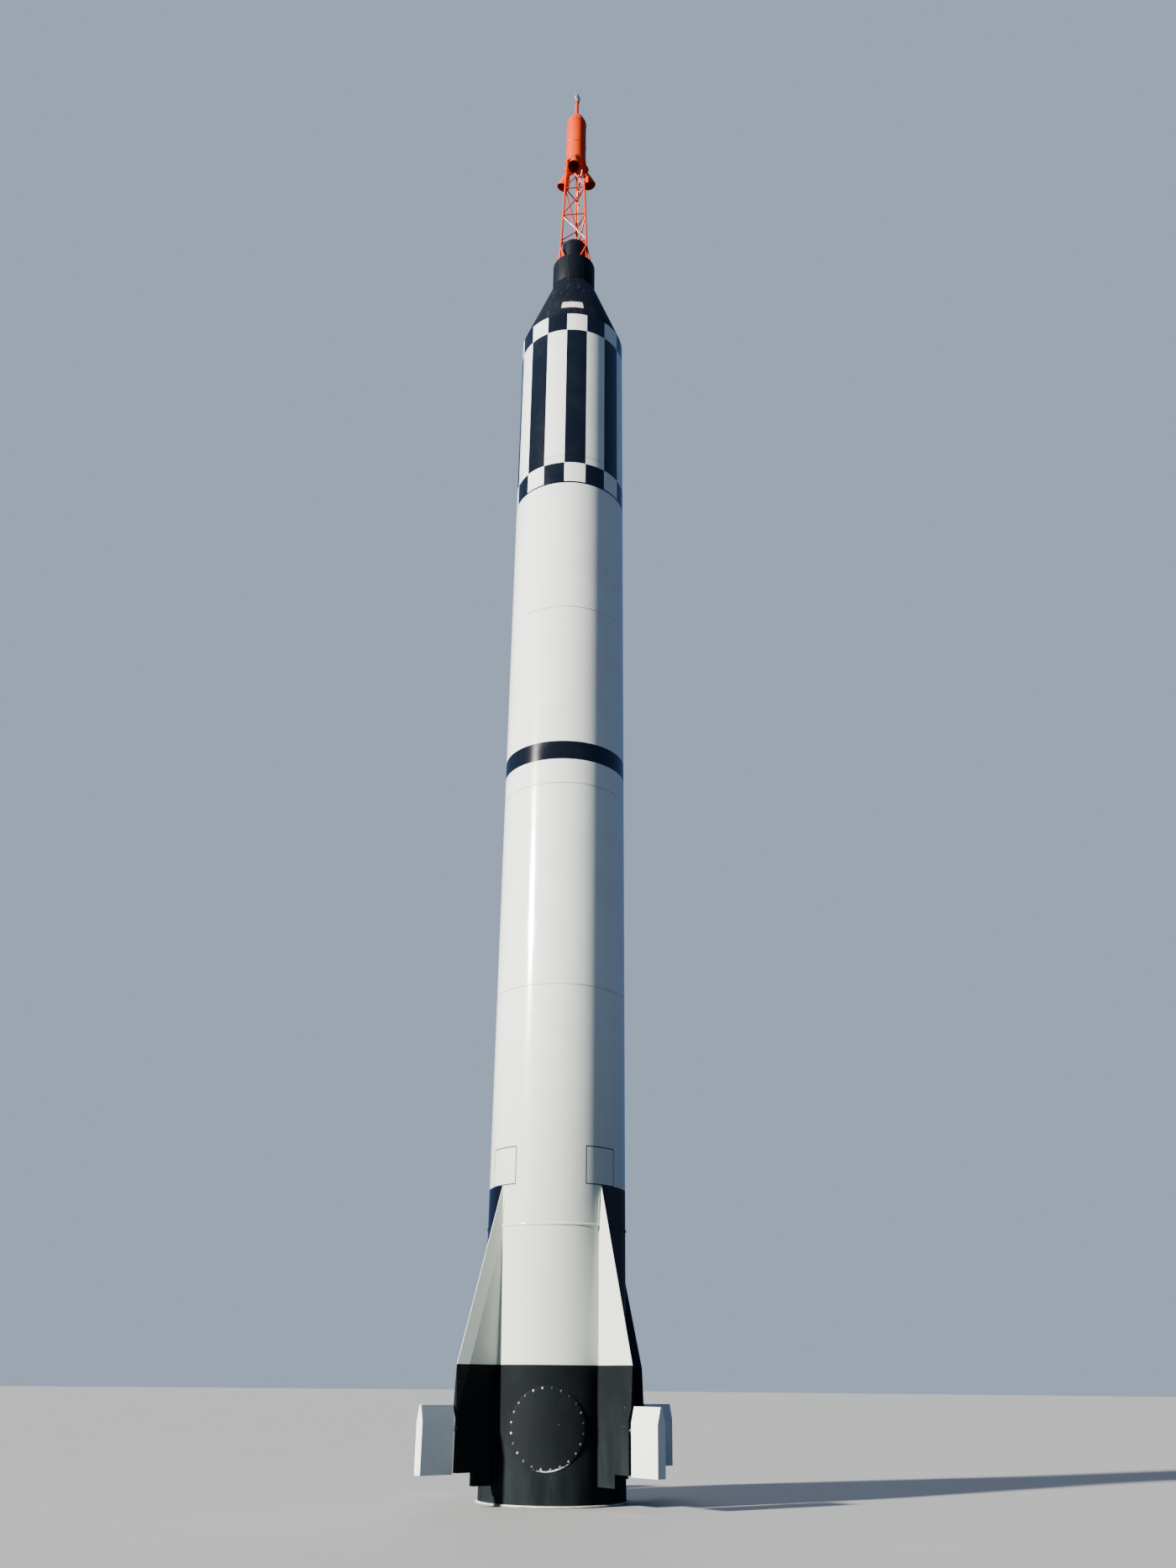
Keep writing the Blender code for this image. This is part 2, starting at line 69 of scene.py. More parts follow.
AIRFRAME = "airframe"
MERGE_DISTANCE = 0.00005
CLEARANCE = 0.0003
RING_POINTS = 14
UP = Vector((0.0, 0.0, 1.0))


class Slot(Enum):
    """Material slots of the rocket's record."""

    BODY = "body_paint"
    FIN = "fin_paint"
    BLACK = "black_paint"
    RED = "red_paint"
    METAL = "grey_metal"
    SHAFT = "shaft_steel"


class Seam(Enum):
    """How a body section ends at the ring seam it shares with its neighbour."""

    GROOVE = "groove"
    BEAD = "bead"
    PLAIN = "plain"


@dataclass(frozen=True)
class PaintLines:
    """Heights, in metres over the pad, and widths of the paint, and sections whose lower seam is dirty."""

    tail_top: float = 1.48
    fin_top: float = 3.56
    panel_top: float = 4.02
    panel_width: float = 0.455
    outline_width: float = 0.015
    seam_width: float = 0.011
    band_low: float = 9.479
    band_high: float = 9.77
    line_low: float = 14.472
    checks_low: float = 14.503
    stripes_low: float = 14.883
    stripes_high: float = 17.77
    sectors: float = 16.0
    first_sector: float = 10.0
    fin_edge_margin: float = 0.005
    dirty_seams: tuple[str, ...] = ("hull_middle", "hull_upper", "hull_forward", "capsule_skirt")


@dataclass(frozen=True)
class HullSizes:
    """Sizes of the body's skins."""

    radius: float = 0.89
    segments: int = 192
    groove: float = 0.0045
    bead_height: float = 0.036
    bead_depth: float = 0.010


@dataclass(frozen=True)
class PaintTones:
    """Colours of gloss paint, its dust and its wear, and tints that stand for painted shade and painted sky
    reflection.
    """

    white: Colour = (0.80, 0.845, 0.785)
    white_aged: Colour = (0.68, 0.70, 0.64)
    white_streak: Colour = (0.55, 0.54, 0.48)
    # Painted shade: a darker white for the lower body and fins, standing in for the weaker light that
    # reaches them there.
    white_low_painted_shade: Colour = (0.60, 0.645, 0.565)
    # Black paint with a blue tint that is a painted reflection of the blue sky.
    black: Colour = (0.0022, 0.0034, 0.0068)
    black_dusty: Colour = (0.015, 0.020, 0.023)
    black_washed: Colour = (0.030, 0.038, 0.046)
    black_chalky: Colour = (0.022, 0.029, 0.030)
    black_neutral: Colour = (0.0044, 0.0060, 0.0068)
    black_clean: Colour = (0.0012, 0.0018, 0.0030)
    # A bluer black for the fins' black faces, its blue a painted reflection of the sky.
    black_navy_painted_sky: Colour = (0.0020, 0.0032, 0.0095)
    primer: Colour = (0.62, 0.62, 0.58)
    bared_rim: Colour = (0.80, 0.80, 0.78)
    outline: Colour = (0.045, 0.055, 0.065)
    seam_dirt: Colour = (0.22, 0.22, 0.20)
    red: Colour = (0.66, 0.040, 0.0008)
    red_faded: Colour = (0.70, 0.064, 0.0015)
    red_dirt: Colour = (0.24, 0.011, 0.001)


PAINT = PaintLines()
HULL = HullSizes()
TONES = PaintTones()


class Graph:
    """Adds nodes to a shader or geometry tree and joins them."""

    def __init__(self, tree: Tree) -> None:
        """Keep the tree to write into."""
        self.tree = tree

    def join(self, source: Socket, target: Socket) -> None:
        """Link one socket to another."""
        self.tree.links.new(source, target)

    def feed(self, socket: Socket, value: object) -> None:
        """Give a socket a link or a plain value.

        Args:
            socket: the input to feed.
            value: another node's output, or a number, colour or object.
        """
        if isinstance(value, Socket):
            self.join(value, socket)
        else:
            socket.default_value = value

    def add(self, kind: str, inputs: dict | None = None, **settings: object) -> bpy.types.Node:
        """Add a node.

        Args:
            kind: Blender's name for the node type.
            inputs: values or sockets by the input's name or number.
            settings: the node's own properties.

        Returns:
            The new node.
        """
        node = self.tree.nodes.new(kind)
        for name, value in settings.items():
            setattr(node, name, value)
        for key, value in (inputs or {}).items():
            self.feed(node.inputs[key], value)
        return node

    def out(self, kind: str, inputs: dict | None = None, **settings: object) -> Socket:
        """Add a node and return its first output."""
        return self.add(kind, inputs, **settings).outputs[0]

    def math(self, operation: str, *values: Value, clamp: bool = False) -> Socket:
        """Return a Math node's result, which clamp holds between 0 and 1."""
        return self.out("ShaderNodeMath", dict(enumerate(values)), operation=operation, use_clamp=clamp)

    def fold(self, operation: str, *values: Value) -> Socket:
        """Return several values joined two at a time by a Math operation."""
        return reduce(lambda total, value: self.math(operation, total, value), values)

    def product(self, *values: Value) -> Socket:
        """Return the product of several values."""
        return self.fold("MULTIPLY", *values)

    def linear(self, value: Value, slope: Value, start: Value) -> Socket:
        """Return a value times a slope, plus a start."""
        return self.math("MULTIPLY_ADD", value, slope, start)

    def gap(self, first: Value, second: Value) -> Socket:
        """Return how far apart two values are."""
        return self.math("ABSOLUTE", self.math("SUBTRACT", first, second))

    def above(self, value: Value, limit: Value) -> Socket:
        """Return 1 where a value is over a limit, else 0."""
        return self.math("GREATER_THAN", value, limit)

    def below(self, value: Value, limit: Value) -> Socket:
        """Return 1 where a value is under a limit, else 0."""
        return self.math("LESS_THAN", value, limit)

    def between(self, value: Value, low: Value, high: Value) -> Socket:
        """Return 1 where a value lies between two limits, else 0."""
        return self.product(self.above(value, low), self.below(value, high))

    def ramp(
        self, value: Value, low: Value, high: Value, out_low: Value = 0.0, out_high: Value = 1.0
    ) -> Socket:
        """Remap a value smoothly from one range to another and clamp it.

        Args:
            value: what is remapped.
            low: the value that gives out_low.
            high: the value that gives out_high.
            out_low: result at low and beyond.
            out_high: result at high and beyond.

        Returns:
            The remapped value's socket.
        """
        inputs = {"Value": value, "From Min": low, "From Max": high, "To Min": out_low, "To Max": out_high}
        return self.out("ShaderNodeMapRange", inputs, interpolation_type="SMOOTHSTEP")

    def mix(self, share: Value, first: object, second: object) -> Socket:
        """Mix two colours.

        Args:
            share: how much of the second colour shows.
            first: the colour at 0, as a socket or three numbers.
            second: the colour at 1, as a socket or three numbers.

        Returns:
            The mixed colour's socket.
        """
        node = self.add("ShaderNodeMix", {0: share}, data_type="RGBA")
        for index, colour in ((6, first), (7, second)):
            self.feed(node.inputs[index], (*colour, 1.0) if isinstance(colour, tuple) else colour)
        return node.outputs[2]

    def noise(self, place: Socket, scale: Value, detail: float = 4.0, rough: float = 0.55) -> Socket:
        """Return the value of a noise texture with a scale, a number of octaves and a roughness."""
        inputs = {"Vector": place, "Scale": scale, "Detail": detail, "Roughness": rough}
        return self.out("ShaderNodeTexNoise", inputs)

    def stretch(self, place: Socket, scale: Sequence[float]) -> Socket:
        """Return coordinates scaled along each axis."""
        return self.out("ShaderNodeVectorMath", {0: place, 1: tuple(scale)}, operation="MULTIPLY")

    def split(self, place: Socket) -> Sequence[Socket]:
        """Return the X, Y and Z of coordinates."""
        return self.add("ShaderNodeSeparateXYZ", {0: place}).outputs


class SocketKind(Enum):
    """Kinds of socket on a node group."""

    VALUE = "NodeSocketFloat"
    COUNT = "NodeSocketInt"
    VECTOR = "NodeSocketVector"
    GEOMETRY = "NodeSocketGeometry"
    MATERIAL = "NodeSocketMaterial"


class Group(Graph):
    """A node group under construction, with its inputs and outputs."""

    kinds = {float: SocketKind.VALUE, int: SocketKind.COUNT}

    def __init__(self, tree_type: str, name: str, takes: dict[str, object], gives: dict) -> None:
        """Make the group's tree and its sockets.

        Args:
            tree_type: Blender's name for the kind of tree.
            name: the group's name.
            takes: its inputs, each with a kind, or with a default number whose type tells its kind.
            gives: its outputs, each with a kind.
        """
        super().__init__(bpy.data.node_groups.new(name, tree_type))
        ends = self.tree.interface
        for label, value in takes.items():
            kind = value if isinstance(value, SocketKind) else self.kinds[type(value)]
            socket = ends.new_socket(name=label, in_out="INPUT", socket_type=kind.value)
            if kind is not value:
                socket.default_value = value
        for label, kind in gives.items():
            ends.new_socket(name=label, in_out="OUTPUT", socket_type=kind.value)
        self.start = self.tree.nodes.new("NodeGroupInput")
        self.end = self.tree.nodes.new("NodeGroupOutput")

    def read(self, name: str) -> Socket:
        """Return one of the group's inputs, for use inside it."""
        return self.start.outputs[name]

    def write(self, name: str, value: object) -> None:
        """Send a value out of the group."""
        self.feed(self.end.inputs[name], value)


class ShaderGroup(Group):
    """A shader group that reads coordinates and gives values."""

    def __init__(self, name: str, takes: dict[str, float], gives: Sequence[str]) -> None:
        """Make the group and keep its coordinates.

        Args:
            name: the group's name.
            takes: its inputs beside the coordinates, with their defaults.
            gives: the names of its outputs.
        """
        inputs = {"Vector": SocketKind.VECTOR, **takes}
        super().__init__("ShaderNodeTree", name, inputs, dict.fromkeys(gives, SocketKind.VALUE))
        self.place = self.read("Vector")


class SharedEffects:
    """Shader groups that more than one finish uses."""

    def __init__(self) -> None:
        """Build every group once."""
        self.livery = self.build_livery()
        self.streaks = self.build_streaks()
        self.ripple = self.build_ripple()
        self.chips = self.build_chips()

    @staticmethod
    def build_livery() -> Tree:
        """Build the masks of what is painted black, of the thin outlined panels and of dirty seams.

        Returns:
            The group's tree.
        """
        group = ShaderGroup("livery mask", {"Waver": 0.0015}, ("Black", "Outline", "Seam"))
        x, y, level = group.split(group.place)
        wander = group.math("SUBTRACT", group.noise(group.place, 3.0, 3.0), 0.5)
        shift = group.product(wander, group.read("Waver"), 2.0)
        z = group.math("ADD", level, shift)
        turn = group.math("ARCTAN2", y, x)
        sector = group.linear(turn, PAINT.sectors / math.tau, -PAINT.first_sector)
        sector = group.math("ADD", sector, shift)
        odd = group.above(group.math("FLOORED_MODULO", sector, 2.0), 1.0)
        even = group.math("SUBTRACT", 1.0, odd)
        dark_side = group.below(group.product(x, y), -PAINT.fin_edge_margin)
        rows = (
            group.below(z, PAINT.tail_top),
            group.product(group.below(z, PAINT.fin_top), dark_side),
            group.between(z, PAINT.band_low, PAINT.band_high),
            group.between(z, PAINT.line_low, PAINT.checks_low),
            group.product(group.between(z, PAINT.checks_low, PAINT.stripes_low), odd),
            group.product(group.between(z, PAINT.stripes_low, PAINT.stripes_high), even),
            group.product(group.above(z, PAINT.stripes_high), odd),
        )
        group.write("Black", group.fold("MAXIMUM", *rows))
        quarter = group.math("MULTIPLY", turn, 4.0 / math.tau)
        off = group.gap(quarter, group.math("ROUND", quarter))
        across = group.math("MULTIPLY", off, math.tau / 4.0 * HULL.radius)
        tall = group.gap(z, (PAINT.fin_top + PAINT.panel_top) / 2)
        wide = group.math("SUBTRACT", across, PAINT.panel_width / 2)
        high = group.math("SUBTRACT", tall, (PAINT.panel_top - PAINT.fin_top) / 2)
        distance = group.math("ABSOLUTE", group.fold("MAXIMUM", wide, high))
        line = group.below(distance, PAINT.outline_width / 2)
        group.write("Outline", group.product(line, group.above(z, PAINT.fin_top - PAINT.outline_width)))
        middle = group.math("ADD", level, PAINT.seam_width / 2)
        seams = [span(node)[0] for node in PAINT.dirty_seams]
        nearest = group.fold("MINIMUM", *(group.gap(middle, seam) for seam in seams))
        dirt = group.ramp(nearest, PAINT.seam_width * 0.3, PAINT.seam_width, 1.0, 0.0)
        broken = group.ramp(group.noise(group.place, 4.0), 0.30, 0.60, 0.45, 1.0)
        group.write("Seam", group.product(dirt, broken))
        return group.tree

    @staticmethod
    def build_streaks() -> Tree:
        """Build rain streaks and settled dust.

        Returns:
            The group's tree.
        """
        takes = {"Spread": 7.0, "Length": 0.35, "Cover": 0.5}
        group = ShaderGroup("rain streaks", takes, ("Streaks", "Dust"))
        x, y, z = group.split(group.place)
        spread = group.read("Spread")
        parts = (group.product(x, spread), group.product(y, spread), group.product(z, group.read("Length")))
        stretched = group.out("ShaderNodeCombineXYZ", dict(enumerate(parts)))
        fine = group.noise(stretched, 3.0, 5.0, 0.6)
        broad = group.noise(stretched, 0.6, 3.0)
        start = group.linear(group.read("Cover"), -0.25, 0.66)
        streaks = group.ramp(fine, start, group.math("ADD", start, 0.22))
        group.write("Streaks", group.product(streaks, group.ramp(broad, 0.38, 0.68)))
        group.write("Dust", group.ramp(group.noise(group.place, 1.7, 6.0, 0.62), 0.42, 0.72))
        return group.tree

    @staticmethod
    def build_ripple() -> Tree:
        """Build the height of rolled sheet that isn't quite true, with the paint's own texture on it.

        Returns:
            The group's tree.
        """
        takes = {"Wave Scale": 1.1, "Wave Height": 0.0016, "Peel Scale": 160.0, "Peel Height": 0.00001}
        group = ShaderGroup("sheet ripple", takes, ("Height",))
        long = group.stretch(group.place, (1.0, 1.0, 0.42))
        rolls = group.noise(long, group.read("Wave Scale"), 2.0, 0.45)
        peel = group.noise(group.place, group.read("Peel Scale"), 2.0)
        wave = group.product(rolls, group.read("Wave Height"))
        group.write("Height", group.math("ADD", wave, group.product(peel, group.read("Peel Height"))))
        return group.tree

    @staticmethod
    def build_chips() -> Tree:
        """Build small chips in paint.

        Returns:
            The group's tree.
        """
        group = ShaderGroup("paint chips", {"Scale": 22.0, "Amount": 0.3}, ("Chips",))
        scale = group.read("Scale")
        cells = group.out("ShaderNodeTexVoronoi", {"Vector": group.place, "Scale": scale, "Randomness": 1.0})
        ragged = group.linear(group.noise(group.place, group.product(scale, 6.0), 3.0), 0.30, -0.13)
        near = group.math("ADD", cells, ragged)
        size = group.math("MULTIPLY", group.read("Amount"), 0.30)
        zones = group.ramp(group.noise(group.place, group.product(scale, 0.16), 2.0), 0.52, 0.62)
        group.write("Chips", group.product(group.below(near, size), zones))
        return group.tree


class Finish(Graph):
    """A surface finish, made into a material once and shared by the pieces that wear it."""

    name: str

    def __init__(self, effects: SharedEffects) -> None:
        """Make the material and build its nodes.

        Args:
            effects: the shared shader groups.
        """
        self.effects = effects
        self.material = bpy.data.materials.new(self.name)
        self.material.use_nodes = True
        super().__init__(self.material.node_tree)
        shader = self.tree.nodes["Principled BSDF"]
        self.sockets = {socket.name.lower(): socket for socket in shader.inputs}
        self.place = self.add("ShaderNodeTexCoord").outputs["Object"]
        self.build()

    def build(self) -> None:
        """Build the finish's own nodes."""
        raise NotImplementedError

    @property
    def colour(self) -> Socket:
        """The colour that the shader has so far."""
        return self.sockets["base color"].links[0].from_socket

    @property
    def height(self) -> Socket:
        """The height over the pad."""
        return self.split(self.place)[2]

    def set(self, **values: object) -> None:
        """Feed the shader's inputs, named with underscores for spaces."""
        for name, value in values.items():
            self.feed(self.sockets[name.replace("_", " ")], value)

    def effect(self, tree: Tree, **values: float) -> Sequence[Socket]:
        """Place a shared group in this material.

        Args:
            tree: the group's tree.
            values: the group's inputs, with underscores for spaces.

        Returns:
            The group's outputs.
        """
        node = self.add("ShaderNodeGroup", node_tree=tree)
        self.feed(node.inputs["Vector"], self.place)
        for name, value in values.items():
            self.feed(node.inputs[name.replace("_", " ").title()], value)
        return node.outputs

    def weather(self, **values: float) -> Sequence[Socket]:
        """Return the masks of rain streaks and of settled dust."""
        return self.effect(self.effects.streaks, **values)

    def chips(self, scale: float, amount: float, share: float) -> Socket:
        """Return how much primer shows in chips of a size and amount."""
        return self.product(self.effect(self.effects.chips, scale=scale, amount=amount)[0], share)

    def bump(self, height: Socket) -> None:
        """Feed a height in metres to the shader's normal."""
        self.set(normal=self.out("ShaderNodeBump", {"Height": height, "Strength": 1.0, "Distance": 1.0}))

    def ripple(self, **values: float) -> None:
        """Tilt the surface as rolled sheet is."""
        self.bump(self.effect(self.effects.ripple, **values)[0])


class Livery(Finish):
    """White gloss paint with the black pattern of the hull and fins."""

    name = "white_and_black_gloss"
    wave_scale = 1.1
    wave_height = 0.0016
    streak_share = 0.16
    seam_share = 0.55
    outline_share = 1.0
    roughness = 0.125
    specular = 0.5
    panel_reach = 4.5
    # Heights over which the painted shade on the white fades out going up.
    painted_shade_levels = (2.8, 6.6)
    shaded_side = (-0.2, 0.4)
    shade_dulling = 0.55
    low_black = TONES.black_clean

    def build(self) -> None:
        """Mix the two paints by the livery's mask, weather both, and darken the white towards the foot as
        painted shade.
        """
        livery = self.effect(self.effects.livery)
        streaks, dust = self.weather(cover=0.45)
        grime, _ = self.weather(spread=16.0, length=0.9, cover=0.35)
        east, _, height = self.split(self.place)
        white = self.mix(self.product(dust, 0.38), TONES.white, TONES.white_aged)
        # Painted shade: the white turns darker towards the foot, for the weaker light low on the body and
        # fins.
        white = self.mix(self.ramp(height, *self.painted_shade_levels, 1.0, 0.0), white, TONES.white_low_painted_shade)
        white = self.mix(self.product(streaks, self.streak_share), white, TONES.white_streak)
        white = self.mix(self.product(livery["Seam"], self.seam_share), white, TONES.seam_dirt)
        white = self.mix(self.product(livery["Outline"], self.outline_share), white, TONES.outline)
        low_panel = self.above(self.panel_reach, height)
        film = self.math("ADD", self.linear(grime, 0.22, 0.10), self.product(dust, 0.20))
        film = self.product(film, self.linear(low_panel, -0.75, 1.0))
        # The blacks' blue tint is a painted reflection of the sky; the fins' low black is bluer still.
        black = self.mix(low_panel, TONES.black, self.low_black)
        black = self.mix(film, black, TONES.black_dusty)
        black = self.mix(self.chips(18.0, 0.14, 0.35), black, TONES.primer)
        self.set(base_color=self.mix(livery["Black"], white, black))
        shaded = self.product(low_panel, livery["Black"], self.ramp(east, *self.shaded_side))
        rough = self.linear(shaded, self.shade_dulling, self.linear(dust, 0.05, self.roughness))
        self.set(roughness=self.linear(grime, 0.08, rough), specular_ior_level=self.specular)
        self.ripple(wave_scale=self.wave_scale, wave_height=self.wave_height)


class FinLivery(Livery):
    """The livery on flat plate, which lies truer than rolled sheet."""

    name = "fin_white_and_black_gloss"
    wave_scale = 1.6
    wave_height = 0.0003
    streak_share = 0.10
    seam_share = 0.0
    outline_share = 0.0
    roughness = 0.24
    specular = 0.30
    # Bluer black on the fins, a painted reflection of the sky on their black faces.
    low_black = TONES.black_navy_painted_sky


class RudderWhite(Finish):
    """White gloss on the rudders, with rubbed edges and water marks."""

    name = "rudder_white_gloss"

    def build(self) -> None:
        """Age the paint and streak it."""
        streaks, dust = self.weather(spread=11.0, length=1.0, cover=0.5)
        paint = self.mix(self.product(dust, 0.40), TONES.white, TONES.white_aged)
        paint = self.mix(self.product(streaks, 0.18), paint, TONES.white_streak)
        paint = self.mix(self.chips(26.0, 0.20, 0.5), paint, TONES.seam_dirt)
        self.set(base_color=paint, roughness=self.linear(dust, 0.10, 0.22))
        self.set(coat_weight=0.30, coat_roughness=0.08)
        self.ripple(wave_scale=2.4, wave_height=0.0005)


class BlackGloss(Finish):
    """Black gloss paint gone dusty and a little chalky in the sun."""

    wave_height = 0.0008
    chip_amount = 0.18
    roughness = 0.46
    specular: float
    coat = 0.0
    tone = TONES.black_neutral

    def build(self) -> None:
        """Lay dust and chips on the paint."""
        streaks, dust = self.weather(spread=12.0, length=1.2, cover=0.6)
        film = self.math("MULTIPLY_ADD", streaks, 0.40, self.linear(dust, 0.24, 0.10), clamp=True)
        paint = self.mix(film, self.tone, TONES.black_dusty)
        paint = self.mix(self.chips(15.0, self.chip_amount, 0.45), paint, TONES.primer)
        self.set(base_color=paint, roughness=self.linear(film, 0.20, self.roughness))
        self.set(specular_ior_level=self.specular, coat_weight=self.coat, coat_roughness=0.12)
        self.ripple(wave_scale=2.2, wave_height=self.wave_height)


class TailBlack(BlackGloss):
    """The black of the tail, chalky all over and dustier towards the pad."""

    name = "tail_black_chalky"
    chip_amount = 0.14
    roughness = 0.70
    specular = 0.05
    dusty_height = 1.2
    low_share = 0.50

    def build(self) -> None:
        """Settle dust on the lowest metre of the paint."""
        super().build()
        low = self.product(self.ramp(self.height, 0.0, self.dusty_height, 1.0, 0.0), self.low_share)
        uneven = self.ramp(self.noise(self.stretch(self.place, (5.0, 5.0, 1.2)), 1.0), 0.30, 0.70)
        self.set(base_color=self.mix(self.product(low, uneven), self.colour, TONES.black_chalky))


class CoverBlack(BlackGloss):
    """The access cover's black paint, chipped to its primer along the bottom of its rim."""

    name = "cover_black_dull"
    wave_height = 0.0004
    chip_amount = 0.12
    roughness = 0.66
    specular = 0.08

    def build(self) -> None:
        """Add the bared rim to the dusty paint."""
        super().build()
        rim = self.add("ShaderNodeAttribute", attribute_name="bared_rim").outputs["Fac"]
        ragged = self.linear(self.noise(self.place, 26.0, 4.0, 0.65), 0.9, -0.45)
        bared = self.ramp(self.math("ADD", rim, ragged), 0.50, 0.56)
        self.set(base_color=self.mix(bared, self.colour, TONES.bared_rim))


class CapsuleBlack(BlackGloss):
    """The capsule's black paint, with pale chips where the neck meets the cone and runs below them."""

    name = "capsule_black_gloss"
    specular = 0.07
    coat = 0.03
    # Black with a blue tint that is a painted reflection of the sky.
    tone = TONES.black
    chip_level = 19.42
    chip_reach = (0.02, 0.20)

    def build(self) -> None:
        """Add the chips and runs to the dusty paint."""
        super().build()
        near = self.ramp(self.gap(self.height, self.chip_level), *self.chip_reach, 1.0, 0.0)
        flakes = self.noise(self.stretch(self.place, (42.0, 42.0, 13.0)), 1.0, 3.0, 0.7)
        patches = self.ramp(self.noise(self.stretch(self.place, (5.0, 5.0, 3.0)), 1.0, 2.0), 0.50, 0.68)
        bared = self.ramp(self.linear(self.product(near, patches), 0.18, flakes), 0.770, 0.80)
        runs = self.noise(self.stretch(self.place, (16.0, 16.0, 0.8)), 1.0, 3.0)
        washed = self.product(self.ramp(runs, 0.52, 0.72), 0.35)
        paint = self.mix(washed, self.colour, TONES.black_washed)
        self.set(base_color=self.mix(self.product(bared, 0.85), paint, TONES.primer))


class RedGloss(Finish):
    """Orange-red gloss paint, sun-faded on its broad faces."""

    name = "orange_red_gloss"
    roughness = 0.34
    specular = 0.08
    coat = 0.02

    def build(self) -> None:
        """Fade and dirty the paint."""
        streaks, dust = self.weather(spread=20.0, length=3.0, cover=0.5)
        paint = self.mix(self.product(dust, 0.45), TONES.red, TONES.red_faded)
        paint = self.mix(self.product(streaks, 0.30), paint, TONES.red_dirt)
        paint = self.mix(self.chips(34.0, 0.22, 0.6), paint, TONES.primer)
        self.set(base_color=paint, roughness=self.linear(dust, 0.12, self.roughness))
        self.set(specular_ior_level=self.specular, coat_weight=self.coat, coat_roughness=0.10)
        self.ripple(wave_scale=5.0, wave_height=0.0003, peel_scale=420.0)


class BraceRed(RedGloss):
    """The same paint on the tower's braces, still glossy enough to flash white in the sun."""

    name = "brace_red_gloss"
    roughness = 0.15
    specular = 0.50
    coat = 0.40


class PaintedScrew(Finish):
    """Zinc screw heads that were painted over with the black, and that rain has bared unevenly."""

    name = "half_painted_zinc"
    painted: Colour = (0.030, 0.034, 0.036)
    bare: Colour = (0.66, 0.66, 0.64)

    def build(self) -> None:
        """Bare some heads more than others."""
        worn = self.noise(self.place, 90.0, 4.0, 0.7)
        bared = self.ramp(self.linear(worn, 0.35, self.noise(self.place, 7.0, 1.0)), 0.64, 0.78)
        self.set(base_color=self.mix(bared, self.painted, self.bare), metallic=self.product(bared, 0.45))
        self.set(roughness=self.linear(bared, -0.15, 0.50))
        self.bump(self.product(worn, 0.0004))


class Mottled(Finish):
    """A plain surface of two tones in patches, with a fine grain."""

    tones: tuple[Colour, Colour]
    patches: tuple[float, ...] = (8.0,)
    patch_range = (0.38, 0.66)
    roughness = 0.35
    patch_roughness = 0.15
    metallic = 0.0
    grain: tuple[float, ...] = (90.0,)
    grain_stretch = (1.0, 1.0, 1.0)
    grain_depth = 0.0002

    def build(self) -> None:
        """Mix the tones and raise the grain."""
        patch = self.ramp(self.noise(self.place, *self.patches), *self.patch_range)
        self.set(base_color=self.mix(patch, *self.tones), metallic=self.metallic)
        self.set(roughness=self.linear(patch, self.patch_roughness, self.roughness))
        grain = self.noise(self.stretch(self.place, self.grain_stretch), *self.grain)
        self.bump(self.product(grain, self.grain_depth))


class LiningSootAndPaintedShade(Mottled):
    """The inside of a nozzle's bell, a darker red of a light soot film and of painted shade deep in the
    bell.
    """

    name = "lining_soot_and_painted_shade"
    # Darker reds: partly a light soot film, partly painted shade for the shadow deep inside the bell.
    tones = ((0.58, 0.024, 0.005), (0.28, 0.014, 0.005))
    patches = (9.0, 5.0, 0.6)
    patch_range = (0.30, 0.60)
    roughness = 0.55
    patch_roughness = 0.25
    grain = (60.0,)
    grain_depth = 0.0004


class PadSealant(Mottled):
    """Pale grout round the foot, stained by the red soil."""

    name = "pad_sealant"
    tones = ((0.66, 0.62, 0.55), (0.36, 0.24, 0.16))
    patches = (5.0, 6.0, 0.65)
    patch_range = (0.40, 0.68)
    roughness = 0.75
    grain = (70.0, 6.0, 0.7)
    grain_depth = 0.003


class CableSheath(Mottled):
    """White cable sheath, chalky with age."""

    name = "white_cable_sheath"
    tones = ((0.78, 0.78, 0.76), (0.55, 0.53, 0.50))
    patches = (40.0,)
    patch_range = (0.40, 0.65)
    roughness = 0.45
    patch_roughness = 0.20
    grain = (300.0,)


class PlateEnamel(Mottled):
    """The pale enamel of the blank marking plate on the cone, unevenly faded."""

    name = "pale_plate_enamel"
    tones = ((0.66, 0.58, 0.57), (0.52, 0.45, 0.46))


class BareMetal(Mottled):
    """Bare metal with turning marks and oxide."""

    patches = (24.0, 6.0, 0.65)
    patch_roughness = 0.20
    metallic = 1.0
    grain = (1.0, 2.0)
    grain_stretch = (4.0, 4.0, 900.0)
    grain_depth = 0.00005


class CastAlloy(BareMetal):
    """Bright alloy of the finial, its nut and the firing lead's plug."""

    name = "cast_alloy"
    tones = ((0.80, 0.81, 0.82), (0.52, 0.53, 0.54))
    roughness = 0.28


class ZincFastener(BareMetal):
    """Zinc of the small screws and clips."""

    name = "zinc_fastener"
    tones = ((0.74, 0.74, 0.72), (0.42, 0.41, 0.38))
    roughness = 0.32
    metallic = 0.85


class ShaftSteel(BareMetal):
    """Dark steel of the rudder shafts."""

    name = "shaft_steel"
    tones = ((0.30, 0.30, 0.31), (0.14, 0.11, 0.09))
    roughness = 0.42


class GalvanisedFoot(BareMetal):
    """Dull galvanised metal of the ring that the rocket stands on."""

    name = "galvanised_foot"
    tones = ((0.44, 0.43, 0.40), (0.30, 0.25, 0.20))
    roughness = 0.50
    metallic = 0.6


